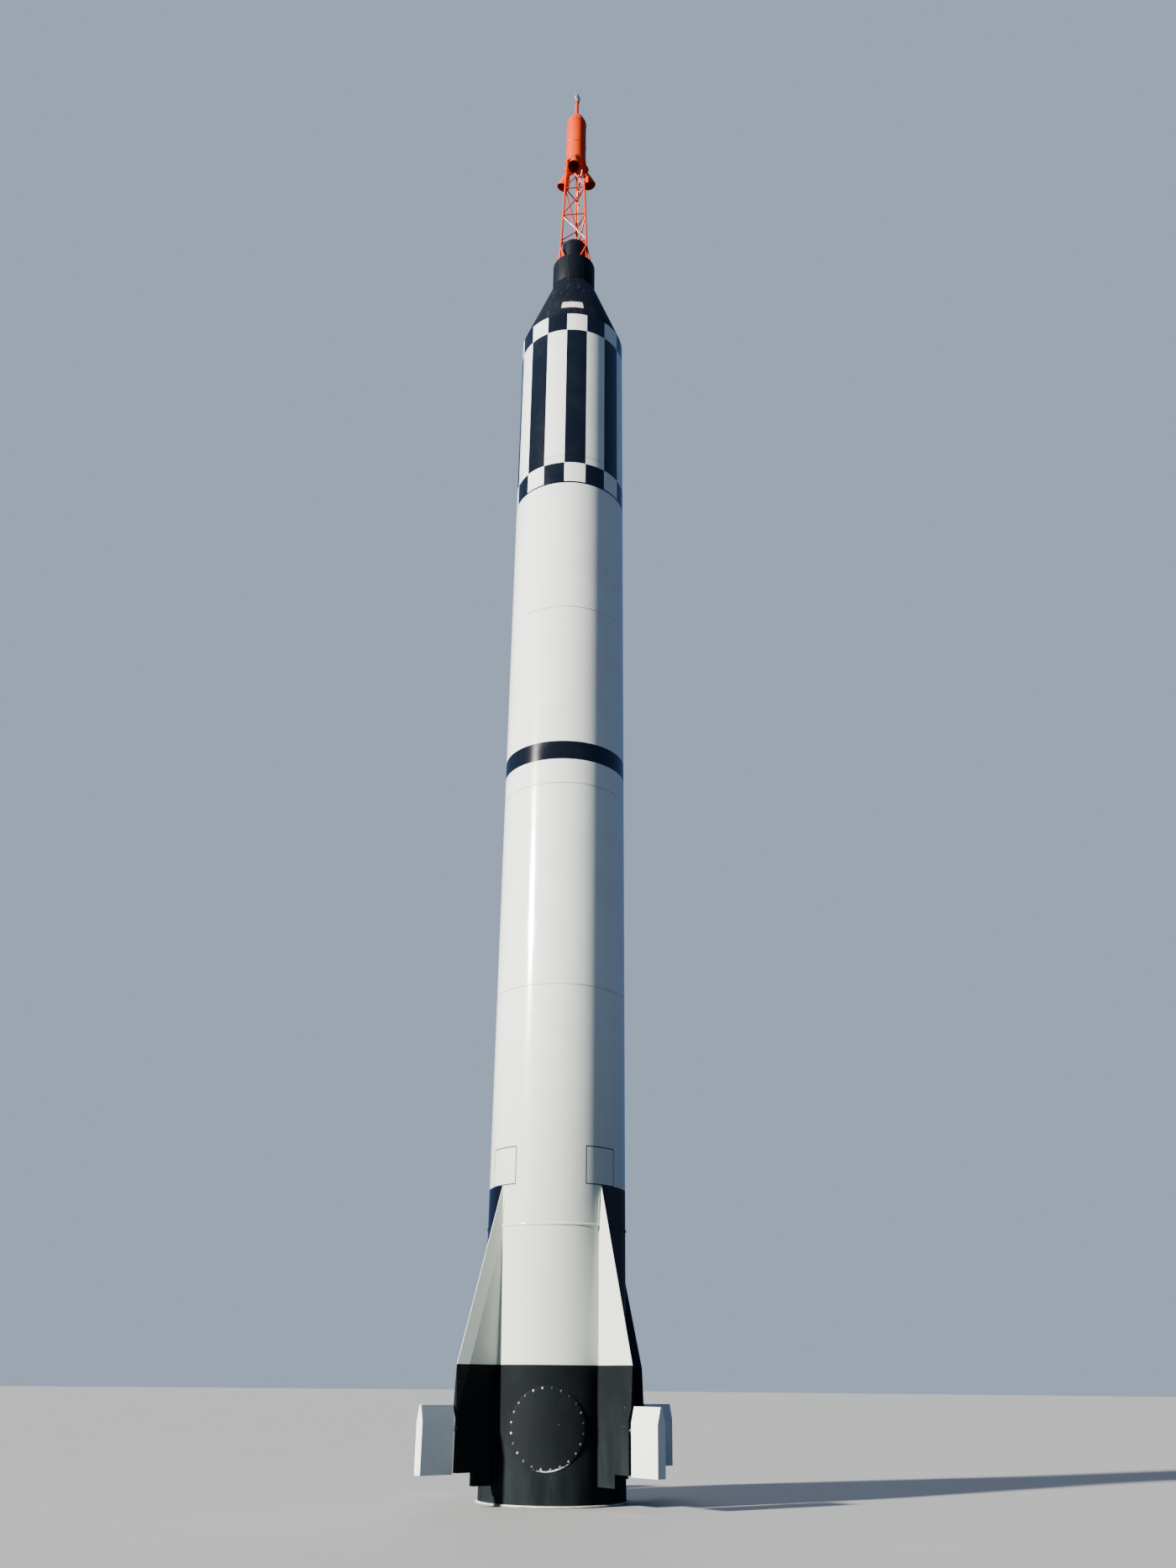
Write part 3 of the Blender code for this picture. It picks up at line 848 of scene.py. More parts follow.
class Finishes:
    """Every finish the rocket wears."""

    def __init__(self) -> None:
        """Build the shared groups, then each finish."""
        effects = SharedEffects()
        self.livery = Livery(effects).material
        self.fin_livery = FinLivery(effects).material
        self.rudder = RudderWhite(effects).material
        self.tail_black = TailBlack(effects).material
        self.cover_black = CoverBlack(effects).material
        self.capsule_black = CapsuleBlack(effects).material
        self.screws = PaintedScrew(effects).material
        self.red = RedGloss(effects).material
        self.brace_red = BraceRed(effects).material
        self.lining = LiningSootAndPaintedShade(effects).material
        self.sealant = PadSealant(effects).material
        self.sheath = CableSheath(effects).material
        self.enamel = PlateEnamel(effects).material
        self.alloy = CastAlloy(effects).material
        self.zinc = ZincFastener(effects).material
        self.steel = ShaftSteel(effects).material
        self.foot = GalvanisedFoot(effects).material


def polar(angle: float, radius: float, height: float) -> Vector:
    """Return the point at an angle in degrees about the rocket's axis."""
    turn = math.radians(angle)
    return Vector((radius * math.cos(turn), radius * math.sin(turn), height))


def outward(point: Vector, rise: float = 0.0) -> tuple[Vector, Vector]:
    """Return a point with the direction away from the rocket's axis there."""
    return point, Vector((point.x, point.y, rise))


def span(node: str) -> tuple[float, float]:
    """Return a node's lowest and highest level."""
    low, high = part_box(node)
    return low.z, high.z


def girth(node: str) -> float:
    """Return the radius of a round node about the rocket's axis."""
    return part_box(node)[1].x


def turns(count: int, offset: float = 0.0) -> list[float]:
    """Return evenly spread angles, in degrees, of one whole turn."""
    return [360.0 * (step + offset) / count for step in range(count)]


def disc(radius: float, low: float, high: float) -> Profile:
    """Return the profile of a plain round block between two levels."""
    return [(0.0, low), (radius, low), (radius, high), (0.0, high)]


def half_round(steps: int = 8) -> Profile:
    """Return how far out and how far up the points of a half circle of radius 1 lie."""
    bends = [math.pi * (step / steps - 0.5) for step in range(steps + 1)]
    return [(math.cos(bend), math.sin(bend)) for bend in bends]


def rounded(points: Profile, radii: Sequence[float], steps: int = 5) -> Profile:
    """Round the corners of a profile with arcs.

    Args:
        points: the profile's corners.
        radii: each corner's radius, 0 to leave it sharp.
        steps: the faces in each arc.

    Returns:
        The rounded profile.
    """
    result: Profile = []
    last = len(points) - 1
    for index, (point, radius) in enumerate(zip(points, radii)):
        here = Vector(point)
        if radius <= 0 or index in (0, last):
            result.append(point)
            continue
        back = (Vector(points[index - 1]) - here).normalized()
        ahead = (Vector(points[index + 1]) - here).normalized()
        half = back.angle(ahead) / 2
        reach = radius / math.tan(half)
        centre = here + (back + ahead).normalized() * radius / math.sin(half)
        first = here + back * reach - centre
        second = here + ahead * reach - centre
        sweep_angle = first.angle_signed(second)
        for step in range(steps + 1):
            spun = Matrix.Rotation(-sweep_angle * step / steps, 2) @ first
            result.append(tuple(centre + spun))
    return result


def revolve(profile: Profile, segments: int, closed: bool = False) -> Surface:
    """Turn a profile of (radius, height) points about Z.

    Args:
        profile: its points, from the bottom up its outer side; ends on the axis are closed to a point.
        segments: faces round the turn.
        closed: whether the profile is a loop, as a hoop's is.

    Returns:
        The closed surface.
    """
    bm = bmesh.new()
    rings = []
    for radius, height in profile:
        if radius < MERGE_DISTANCE:
            rings.append([bm.verts.new((0.0, 0.0, height))] * segments)
        else:
            rings.append([bm.verts.new(polar(angle, radius, height)) for angle in turns(segments)])
    pairs = list(zip(rings, rings[1:]))
    if closed:
        pairs.append((rings[-1], rings[0]))
    for lower, upper in pairs:
        for step in range(segments):
            following = (step + 1) % segments
            corners = (lower[step], lower[following], upper[following], upper[step])
            face = list(dict.fromkeys(corners))
            if len(face) > 2:
                bm.faces.new(face)
    bmesh.ops.recalc_face_normals(bm, faces=bm.faces[:])
    return bm


def new_piece(name: str, bm: Surface, *materials: Material) -> Piece:
    """Turn a bmesh into a shown object at the origin.

    Args:
        name: the piece's name.
        bm: its geometry, which is freed.
        materials: its material slots, in order.

    Returns:
        The object.
    """
    mesh = bpy.data.meshes.new(name)
    bm.to_mesh(mesh)
    bm.free()
    for material in materials:
        mesh.materials.append(material)
    piece = bpy.data.objects.new(name, mesh)
    bpy.context.scene.collection.objects.link(piece)
    return piece


def smooth(piece: Piece, angle: float) -> None:
    """Shade a piece smooth, with edges sharper than an angle in degrees left crisp."""
    piece.data.shade_smooth()
    piece.data.set_sharp_from_angle(angle=math.radians(angle))


def enlist(piece: Piece, nodes: Sequence[str] = (), body: str = AIRFRAME) -> None:
    """Attach a finished piece to its body, hide the nodes it stands for, and report it.

    Args:
        piece: the finished piece.
        nodes: the nodes that it replaces.
        body: the body that it moves with.
    """
    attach(piece, body)
    if nodes:
        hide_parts(*nodes)
    LOG.info("%s: %d faces on %s", piece.name, len(piece.data.polygons), body)


def add_piece(
    name: str,
    bm: Surface,
    slot: Slot,
    *materials: Material,
    nodes: Sequence[str] = (),
    body: str = AIRFRAME,
    crisp: float = 32.0,
) -> Piece:
    """Turn a bmesh into a smooth finished piece.

    Args:
        name: the piece's name.
        bm: its geometry, which is freed.
        slot: not used.
        materials: its material slots, in order.
        nodes: the nodes that it replaces.
        body: the body that it moves with.
        crisp: the angle in degrees beyond which edges are left crisp.

    Returns:
        The piece.
    """
    piece = new_piece(name, bm, *materials)
    smooth(piece, crisp)
    enlist(piece, nodes, body)
    return piece


def paint_below(piece: Piece, level: float) -> None:
    """Give the faces under a level the last of the piece's materials."""
    last = len(piece.data.materials) - 1
    for face in piece.data.polygons:
        face.material_index = last if face.center.z < level else 0


def softened(node: str, bevel: float, cut: float | None = None) -> Surface:
    """Copy a node's mesh, join its loose triangles and round its edges.

    Args:
        node: the node to copy.
        bevel: the width of the rounding.
        cut: a level at which its faces are parted, for a change of paint.

    Returns:
        The surface. Its inner corners stay sharp, so that nothing that sits in them is touched.
    """
    bm = bmesh.new()
    bm.from_mesh(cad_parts[node].data)
    bmesh.ops.remove_doubles(bm, verts=bm.verts[:], dist=MERGE_DISTANCE)
    flat = math.radians(1.0)
    bmesh.ops.dissolve_limit(bm, angle_limit=flat, verts=bm.verts[:], edges=bm.edges[:])
    if cut is not None:
        everything = bm.verts[:] + bm.edges[:] + bm.faces[:]
        bmesh.ops.bisect_plane(bm, geom=everything, plane_co=UP * cut, plane_no=UP)
    sharp = math.radians(20.0)
    corners = [e for e in bm.edges if e.is_manifold and e.is_convex and e.calc_face_angle(0.0) > sharp]
    bmesh.ops.bevel(
        bm,
        geom=corners,
        offset=bevel,
        offset_type="OFFSET",
        segments=2,
        profile=0.5,
        affect="EDGES",
        clamp_overlap=True,
    )
    return bm


class GeometryGroup(Group):
    """A geometry tree that works on a guide and ends in real meshes with a material."""

    def __init__(self, name: str, takes: dict[str, float]) -> None:
        """Make the tree with its guide and its material.

        Args:
            name: the tree's name.
            takes: its other inputs, with their defaults.
        """
        ends = {"Geometry": SocketKind.GEOMETRY}
        inputs = {**ends, **takes, "Material": SocketKind.MATERIAL}
        super().__init__("GeometryNodeTree", name, inputs, ends)

    def finish(self, geometry: Socket, smooth_faces: bool) -> Tree:
        """End the tree with real meshes that carry its material.

        Args:
            geometry: what the tree has made.
            smooth_faces: whether the faces are shaded smooth.

        Returns:
            The finished tree.
        """
        real = self.out("GeometryNodeRealizeInstances", {"Geometry": geometry})
        shaded = self.out("GeometryNodeSetShadeSmooth", {"Geometry": real, "Shade Smooth": smooth_faces})
        material = self.read("Material")
        dressed = self.out("GeometryNodeSetMaterial", {"Geometry": shaded, "Material": material})
        self.write("Geometry", dressed)
        return self.tree


class GeometryTrees:
    """Geometry node trees that make what repeats or follows a path."""

    def __init__(self) -> None:
        """Build both trees."""
        self.fasteners = self.build_fasteners()
        self.tubes = self.build_tubes()

    @staticmethod
    def build_fasteners() -> Tree:
        """Build hexagon heads on washers at each point, square to the point's outward attribute.

        Returns:
            The tree.
        """
        takes = {
            "Head Radius": 0.012,
            "Head Height": 0.008,
            "Washer Radius": 0.016,
            "Washer Height": 0.002,
            "Head Sides": 6,
            "Seed": 3,
        }
        group = GeometryGroup("fasteners on points", takes)
        thickness = group.read("Washer Height")
        sizes = {"Vertices": 20, "Radius": group.read("Washer Radius"), "Depth": thickness}
        washer = group.out("GeometryNodeMeshCylinder", sizes)
        sizes = {
            "Vertices": group.read("Head Sides"),
            "Radius Top": group.product(group.read("Head Radius"), 0.86),
            "Radius Bottom": group.read("Head Radius"),
            "Depth": group.read("Head Height"),
        }
        head = group.out("GeometryNodeMeshCone", sizes)
        both = group.add("GeometryNodeJoinGeometry")
        for shape, lift in ((washer, group.product(thickness, 0.5)), (head, thickness)):
            move = group.out("ShaderNodeCombineXYZ", {2: lift})
            lifted = group.out("GeometryNodeTransform", {"Geometry": shape, "Translation": move})
            group.join(lifted, both.inputs[0])
        way = group.out("GeometryNodeInputNamedAttribute", {"Name": "outward"}, data_type="FLOAT_VECTOR")
        aim = group.out("FunctionNodeAlignRotationToVector", {"Vector": way}, axis="Z")
        inputs = {"Min": 0.0, "Max": math.tau, "Seed": group.read("Seed")}
        twist = group.add("FunctionNodeRandomValue", inputs)
        turned = group.add("FunctionNodeRotateRotation", {"Rotation": aim}, rotation_space="LOCAL")
        group.join(group.out("ShaderNodeCombineXYZ", {2: twist.outputs[1]}), turned.inputs["Rotate By"])
        points = group.out("GeometryNodeMeshToPoints", {"Mesh": group.read("Geometry")})
        inputs = {"Points": points, "Instance": both.outputs[0], "Rotation": turned.outputs[0]}
        return group.finish(group.out("GeometryNodeInstanceOnPoints", inputs), smooth_faces=False)

    @staticmethod
    def build_tubes() -> Tree:
        """Build a round bar along each spline, with a waver for hand-laid beads.

        Returns:
            The tree.
        """
        takes = {"Radius": 0.01, "Sides": 16, "Waver": 0.0, "Waver Scale": 9.0, "Seed": 0.0}
        group = GeometryGroup("bars along splines", takes)
        inputs = {"W": group.read("Seed"), "Scale": group.read("Waver Scale")}
        noise = group.add("ShaderNodeTexNoise", inputs, noise_dimensions="4D")
        inputs = {0: noise.outputs["Color"], 1: (0.5, 0.5, 0.5)}
        centred = group.out("ShaderNodeVectorMath", inputs, operation="SUBTRACT")
        inputs = {0: centred, "Scale": group.read("Waver")}
        pushed = group.out("ShaderNodeVectorMath", inputs, operation="SCALE")
        inputs = {"Geometry": group.read("Geometry"), "Offset": pushed}
        moved = group.out("GeometryNodeSetPosition", inputs)
        inputs = {"Resolution": group.read("Sides"), "Radius": group.read("Radius")}
        ring = group.out("GeometryNodeCurvePrimitiveCircle", inputs)
        inputs = {"Curve": moved, "Profile Curve": ring, "Fill Caps": True}
        return group.finish(group.out("GeometryNodeCurveToMesh", inputs), smooth_faces=True)


TREES = GeometryTrees()


def point_guide(name: str, places: Iterable[tuple[Vector, Vector]]) -> bpy.types.Mesh:
    """Make a mesh of points that each know their outward direction.

    Args:
        name: the mesh's name.
        places: each point and its outward direction.

    Returns:
        The mesh.
    """
    rows = list(places)
    mesh = bpy.data.meshes.new(name)
    mesh.from_pydata([tuple(point) for point, _ in rows], [], [])
    ways = mesh.attributes.new("outward", "FLOAT_VECTOR", "POINT")
    ways.data.foreach_set("vector", [part for _, way in rows for part in way.normalized()])
    return mesh


def path_guide(name: str, paths: Iterable[Sequence[Vector]], cyclic: bool) -> bpy.types.Curve:
    """Make a curve of straight-run splines.

    Args:
        name: the curve's name.
        paths: the points of each spline.
        cyclic: whether each spline closes on itself.

    Returns:
        The curve.
    """
    curve = bpy.data.curves.new(name, "CURVE")
    curve.dimensions = "3D"
    curve.twist_mode = "MINIMUM"
    for path in paths:
        spline = curve.splines.new("POLY")
        spline.points.add(len(path) - 1)
        spline.use_cyclic_u = cyclic
        for point, place in zip(spline.points, path):
            point.co = (*place, 1.0)
    return curve


def grow(name: str, guide: bpy.types.ID, tree: Tree, **values: object) -> Piece:
    """Run a geometry tree on a guide and keep the result as a plain mesh piece.

    Args:
        name: the piece's name.
        guide: the mesh or curve that the tree works on.
        tree: the geometry node tree.
        values: the tree's inputs, named with underscores for spaces.

    Returns:
        The piece, with its place in its mesh.
    """
    holder = bpy.data.objects.new(name + "_guide", guide)
    bpy.context.scene.collection.objects.link(holder)
    modifier = holder.modifiers.new("shape", "NODES")
    modifier.node_group = tree
    sockets = {item.name: item.identifier for item in tree.interface.items_tree if item.in_out == "INPUT"}
    for key, value in values.items():
        modifier[sockets[key.replace("_", " ").title()]] = value
    graph = bpy.context.evaluated_depsgraph_get()
    mesh = bpy.data.meshes.new_from_object(holder.evaluated_get(graph))
    mesh.name = name
    bpy.data.objects.remove(holder)
    piece = bpy.data.objects.new(name, mesh)
    bpy.context.scene.collection.objects.link(piece)
    return piece


def sweep(
    name: str,
    paths: Iterable[Sequence[Vector]],
    slot: Slot,
    nodes: Sequence[str] = (),
    cyclic: bool = False,
    **values: object,
) -> Piece:
    """Sweep a round bar or bead along each path and enlist them as one piece.

    Args:
        name: the piece's name.
        paths: the points of each path.
        slot: not used.
        nodes: the nodes that it replaces.
        cyclic: whether each path closes on itself.
        values: the bars' inputs, named with underscores for spaces.

    Returns:
        The piece.
    """
    piece = grow(name, path_guide(name, paths, cyclic), TREES.tubes, **values)
    enlist(piece, nodes)
    return piece


def fasten(name: str, places: Iterable[tuple[Vector, Vector]], **values: object) -> None:
    """Set a screw at each place, pointing outward, and enlist them as one piece."""
    enlist(grow(name, point_guide(name + "_points", places), TREES.fasteners, **values))


def ring_round(centre: Vector, axis: Vector, radius: float) -> list[Vector]:
    """Return points of a circle square to an axis."""
    turn = axis.to_track_quat("Z", "Y")
    return [centre + turn @ polar(angle, radius, 0.0) for angle in turns(RING_POINTS)]


def smooth_route(points: Sequence[Vector], steps: int = 10) -> list[Vector]:
    """Return a smooth path through points.

    Args:
        points: the places it passes.
        steps: the path's points between each two places.

    Returns:
        The path.
    """
    padded = [2 * points[0] - points[1], *points, 2 * points[-1] - points[-2]]
    path = []
    for a, b, c, d in zip(padded, padded[1:], padded[2:], padded[3:]):
        for step in range(steps):
            t = step / steps
            bend = (2 * a - 5 * b + 4 * c - d) * t**2 + (3 * b - a - 3 * c + d) * t**3
            path.append(0.5 * (2 * b + (c - a) * t + bend))
    path.append(points[-1])
    return path


@dataclass
class Hull:
    """The body's round sections, from the pad to the cone's foot."""

    finishes: Finishes
    chamfer: float = 0.0015
    foot_edges: tuple[float, float] = (0.001, 0.004)
    grout_radius: float = 0.010
    grout_gap: float = 0.002
    grout_lift: float = 0.0016
    grout_points: int = 180

    # Columns: node, seam at its lower end, seam at its upper end
    sections = (
        ("hull_tail", Seam.PLAIN, Seam.PLAIN),
        ("hull_lower", Seam.BEAD, Seam.GROOVE),
        ("hull_middle", Seam.GROOVE, Seam.GROOVE),
        ("hull_upper", Seam.GROOVE, Seam.GROOVE),
        ("hull_forward", Seam.GROOVE, Seam.PLAIN),
        ("capsule_skirt", Seam.GROOVE, Seam.PLAIN),
    )

    def inset(self, style: Seam) -> float:
        """Return how far a section's corner is cut back at a seam."""
        return HULL.groove if style is Seam.GROOVE else self.chamfer

    def lower_end(self, style: Seam, low: float) -> Profile:
        """Return the profile of a section's lower end.

        Args:
            style: the seam there.
            low: the level of the end.

        Returns:
            Points from the axis out to the section's side.
        """
        inset = self.inset(style)
        points = [(0.0, low), (HULL.radius - inset, low)]
        if style is not Seam.BEAD:
            return [*points, (HULL.radius, low + inset)]
        half = HULL.bead_height / 2
        bead = [(HULL.radius + HULL.bead_depth * out, low + half + half * up) for out, up in half_round()]
        return points + bead

    def upper_end(self, style: Seam, high: float) -> Profile:
        """Return the profile of a section's upper end, from its side in to the axis."""
        inset = self.inset(style)
        return [(HULL.radius, high - inset), (HULL.radius - inset, high), (0.0, high)]

    def build_sections(self) -> None:
        """Build each section's smooth painted skin."""
        for node, below, over in self.sections:
            low, high = span(node)
            profile = self.lower_end(below, low) + self.upper_end(over, high)
            paints = [self.finishes.livery]
            if low < PAINT.tail_top < high:
                profile.insert(-3, (HULL.radius, PAINT.tail_top))
                paints.append(self.finishes.tail_black)
            skin = revolve(profile, HULL.segments)
            piece = add_piece(node + "_skin", skin, Slot.BODY, *paints, nodes=[node])
            paint_below(piece, PAINT.tail_top)

    def build_foot(self) -> None:
        """Build the ring that the body stands on and the grout bead round it."""
        radius = girth("base_plate")
        profile = rounded(disc(radius, *span("base_plate")), (0.0, *self.foot_edges, 0.0), 3)
        skin = revolve(profile, HULL.segments)
        add_piece("foot_ring", skin, Slot.METAL, self.finishes.foot, nodes=["base_plate"])
        level = self.grout_radius + self.grout_lift
        sweep(
            "foot_grout",
            [[polar(angle, radius + self.grout_gap, level) for angle in turns(self.grout_points)]],
            Slot.METAL,
            cyclic=True,
            radius=self.grout_radius,
            sides=10,
            waver=0.002,
            waver_scale=14.0,
            seed=2.0,
            material=self.finishes.sealant,
        )

    def build(self) -> None:
        """Build the whole body."""
        self.build_sections()
        self.build_foot()


@dataclass
class AccessCover:
    """The round cover bolted to the tail section."""

    finishes: Finishes
    angle: float = 226.5
    centre: float = 0.81
    radius: float = 0.45
    thickness: float = 0.008
    edge: float = 0.003
    rings: int = 12
    spokes: int = 96
    bolts: int = 24
    bolt_ring: float = 0.426
    head_radius: float = 0.010
    bared_turn: float = 12.0
    bared_reach: float = 0.013
    bared_spread: float = 42.0

    @property
    def inner(self) -> float:
        """The radius of the cover's back about the rocket's axis."""
        return HULL.radius + CLEARANCE

    @property
    def outer(self) -> float:
        """The radius of the cover's face about the rocket's axis."""
        return self.inner + self.thickness

    def on_hull(self, out: float, turn: float, depth: float) -> Vector:
        """Return a point of the cover.

        Args:
            out: distance from the cover's centre, measured square to its middle.
            turn: angle round it in degrees, from the right as seen from outside.
            depth: radius about the rocket's axis.

        Returns:
            The point.
        """
        across = out * math.cos(math.radians(turn))
        level = self.centre + out * math.sin(math.radians(turn))
        swing = math.degrees(math.asin(across / depth))
        return polar(self.angle + swing, depth, level)

    def build_plate(self) -> None:
        """Build the curved disc with a rounded rim, and mark where its rim is bared."""
        columns = [(self.radius * ring / self.rings, self.outer) for ring in range(1, self.rings)]
        rim = [(self.radius, self.outer), (self.radius, self.inner), (self.radius * 0.5, self.inner)]
        columns += rounded([columns[-1], *rim], (0.0, self.edge, 0.0, 0.0), 4)[1:]
        bm = bmesh.new()
        top, floor = (bm.verts.new(self.on_hull(0.0, 0.0, depth)) for depth in (self.outer, self.inner))
        loops = [
            [bm.verts.new(self.on_hull(out, turn, depth)) for turn in turns(self.spokes)]
            for out, depth in columns
        ]
        for step in range(self.spokes):
            following = (step + 1) % self.spokes
            bm.faces.new((top, loops[0][step], loops[0][following]))
            bm.faces.new((floor, loops[-1][following], loops[-1][step]))
            for near, far in zip(loops, loops[1:]):
                bm.faces.new((near[step], far[step], far[following], near[following]))
        bmesh.ops.recalc_face_normals(bm, faces=bm.faces[:])
        paint = self.finishes.cover_black
        piece = add_piece("access_cover_plate", bm, Slot.BLACK, paint, nodes=["access_cover"])
        attribute = piece.data.attributes.new("bared_rim", "FLOAT", "POINT")
        attribute.data.foreach_set("value", [self.bared(vertex.co) for vertex in piece.data.vertices])

    def bared(self, place: Vector) -> float:
        """Return how bare the paint is at a point of the cover.

        Args:
            place: the point.

        Returns:
            1 at the bottom of the rim, less round it and inwards.
        """
        middle = polar(self.angle, HULL.radius, self.centre)
        across = (place - middle).dot(polar(self.angle + 90.0, 1.0, 0.0))
        up = place.z - self.centre
        out = math.hypot(across, up)
        turn = abs((math.degrees(math.atan2(up, across)) + 90.0 - self.bared_turn + 180.0) % 360.0 - 180.0)
        near_rim = max(0.0, 1.0 - max(0.0, self.radius - out) / self.bared_reach)
        return near_rim * max(0.0, 1.0 - (turn / self.bared_spread) ** 2)

    def build(self) -> None:
        """Build the cover and its ring of cap screws."""
        self.build_plate()
        fasten(
            "access_cover_screws",
            [outward(self.on_hull(self.bolt_ring, turn, self.outer)) for turn in turns(self.bolts, 0.5)],
            head_radius=self.head_radius,
            head_height=0.006,
            washer_radius=self.head_radius * 1.25,
            washer_height=0.0015,
            seed=5,
            material=self.finishes.screws,
        )


@dataclass
class FinSet:
    """Four fins, their root welds, and the four air rudders on their shafts."""

    finishes: Finishes
    edge: float = 0.0035
    crisp: float = 12.0
    half_thickness: float = 0.038
    weld_radius: float = 0.006
    weld_levels: tuple[float, float] = (0.205, 3.40)
    weld_turn: float = 0.15
    weld_lift: float = 0.001
    weld_points: int = 90
    shaft_edge: float = 0.002
    shaft_segments: int = 48

    # Columns: place of the fin on the rocket, its angle about the axis
    fins = (
        ("front_left", 180.0),
        ("front_right", 270.0),
        ("rear_right", 0.0),
        ("rear_left", 90.0),
    )

    def build_fins(self) -> None:
        """Give each fin soft edges and the livery."""
        paints = (self.finishes.fin_livery, self.finishes.tail_black)
        for place, _ in self.fins:
            node = "fin_" + place
            skin = softened(node, self.edge, PAINT.tail_top)
            piece = add_piece(node + "_skin", skin, Slot.FIN, *paints, nodes=[node], crisp=self.crisp)
            paint_below(piece, PAINT.tail_top)

    def build_welds(self) -> None:
        """Lay a weld bead down both sides of each fin's root."""
        swing = math.degrees(math.asin(self.half_thickness / HULL.radius)) + self.weld_turn
        levels = np.linspace(*self.weld_levels, self.weld_points)
        roots = [angle + way * swing for _, angle in self.fins for way in (-1, 1)]
        sweep(
            "fin_root_welds",
            [[polar(root, HULL.radius + self.weld_lift, level) for level in levels] for root in roots],
            Slot.FIN,
            radius=self.weld_radius,
            sides=10,
            waver=0.0016,
            waver_scale=22.0,
            seed=4.0,
            material=self.finishes.fin_livery,
        )

    def build_rudders(self) -> None:
        """Give each rudder soft edges and white paint, and set it on its turned steel shaft."""
        for place, angle in self.fins:
            body = "rudder_set_" + place
            node = "rudder_" + place
            skin = softened(node, self.edge)
            paint = self.finishes.rudder
            add_piece(node + "_skin", skin, Slot.FIN, paint, nodes=[node], body=body, crisp=self.crisp)
            node = "rudder_shaft_" + place
            skin = self.turn_shaft(node, angle)
            add_piece(node + "_skin", skin, Slot.SHAFT, self.finishes.steel, nodes=[node], body=body)

    def turn_shaft(self, node: str, angle: float) -> Surface:
        """Turn a rudder's shaft with softened ends.

        Args:
            node: the shaft's node.
            angle: its direction about the rocket's axis in degrees.

        Returns:
            The shaft's surface, in its place.
        """
        low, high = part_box(node)
        half = max(high.x - low.x, high.y - low.y) / 2
        profile = disc((high.z - low.z) / 2, -half, half)
        profile = rounded(profile, (0.0, self.shaft_edge, self.shaft_edge, 0.0), 3)
        bm = revolve(profile, self.shaft_segments)
        lay = Matrix.Rotation(math.radians(90.0), 4, "Y")
        turn = Matrix.Rotation(math.radians(angle), 4, "Z")
        bm.transform(Matrix.Translation((low + high) / 2) @ turn @ lay)
        return bm

    def build(self) -> None:
        """Build the fins, welds and rudders."""
        self.build_fins()
        self.build_welds()
        self.build_rudders()


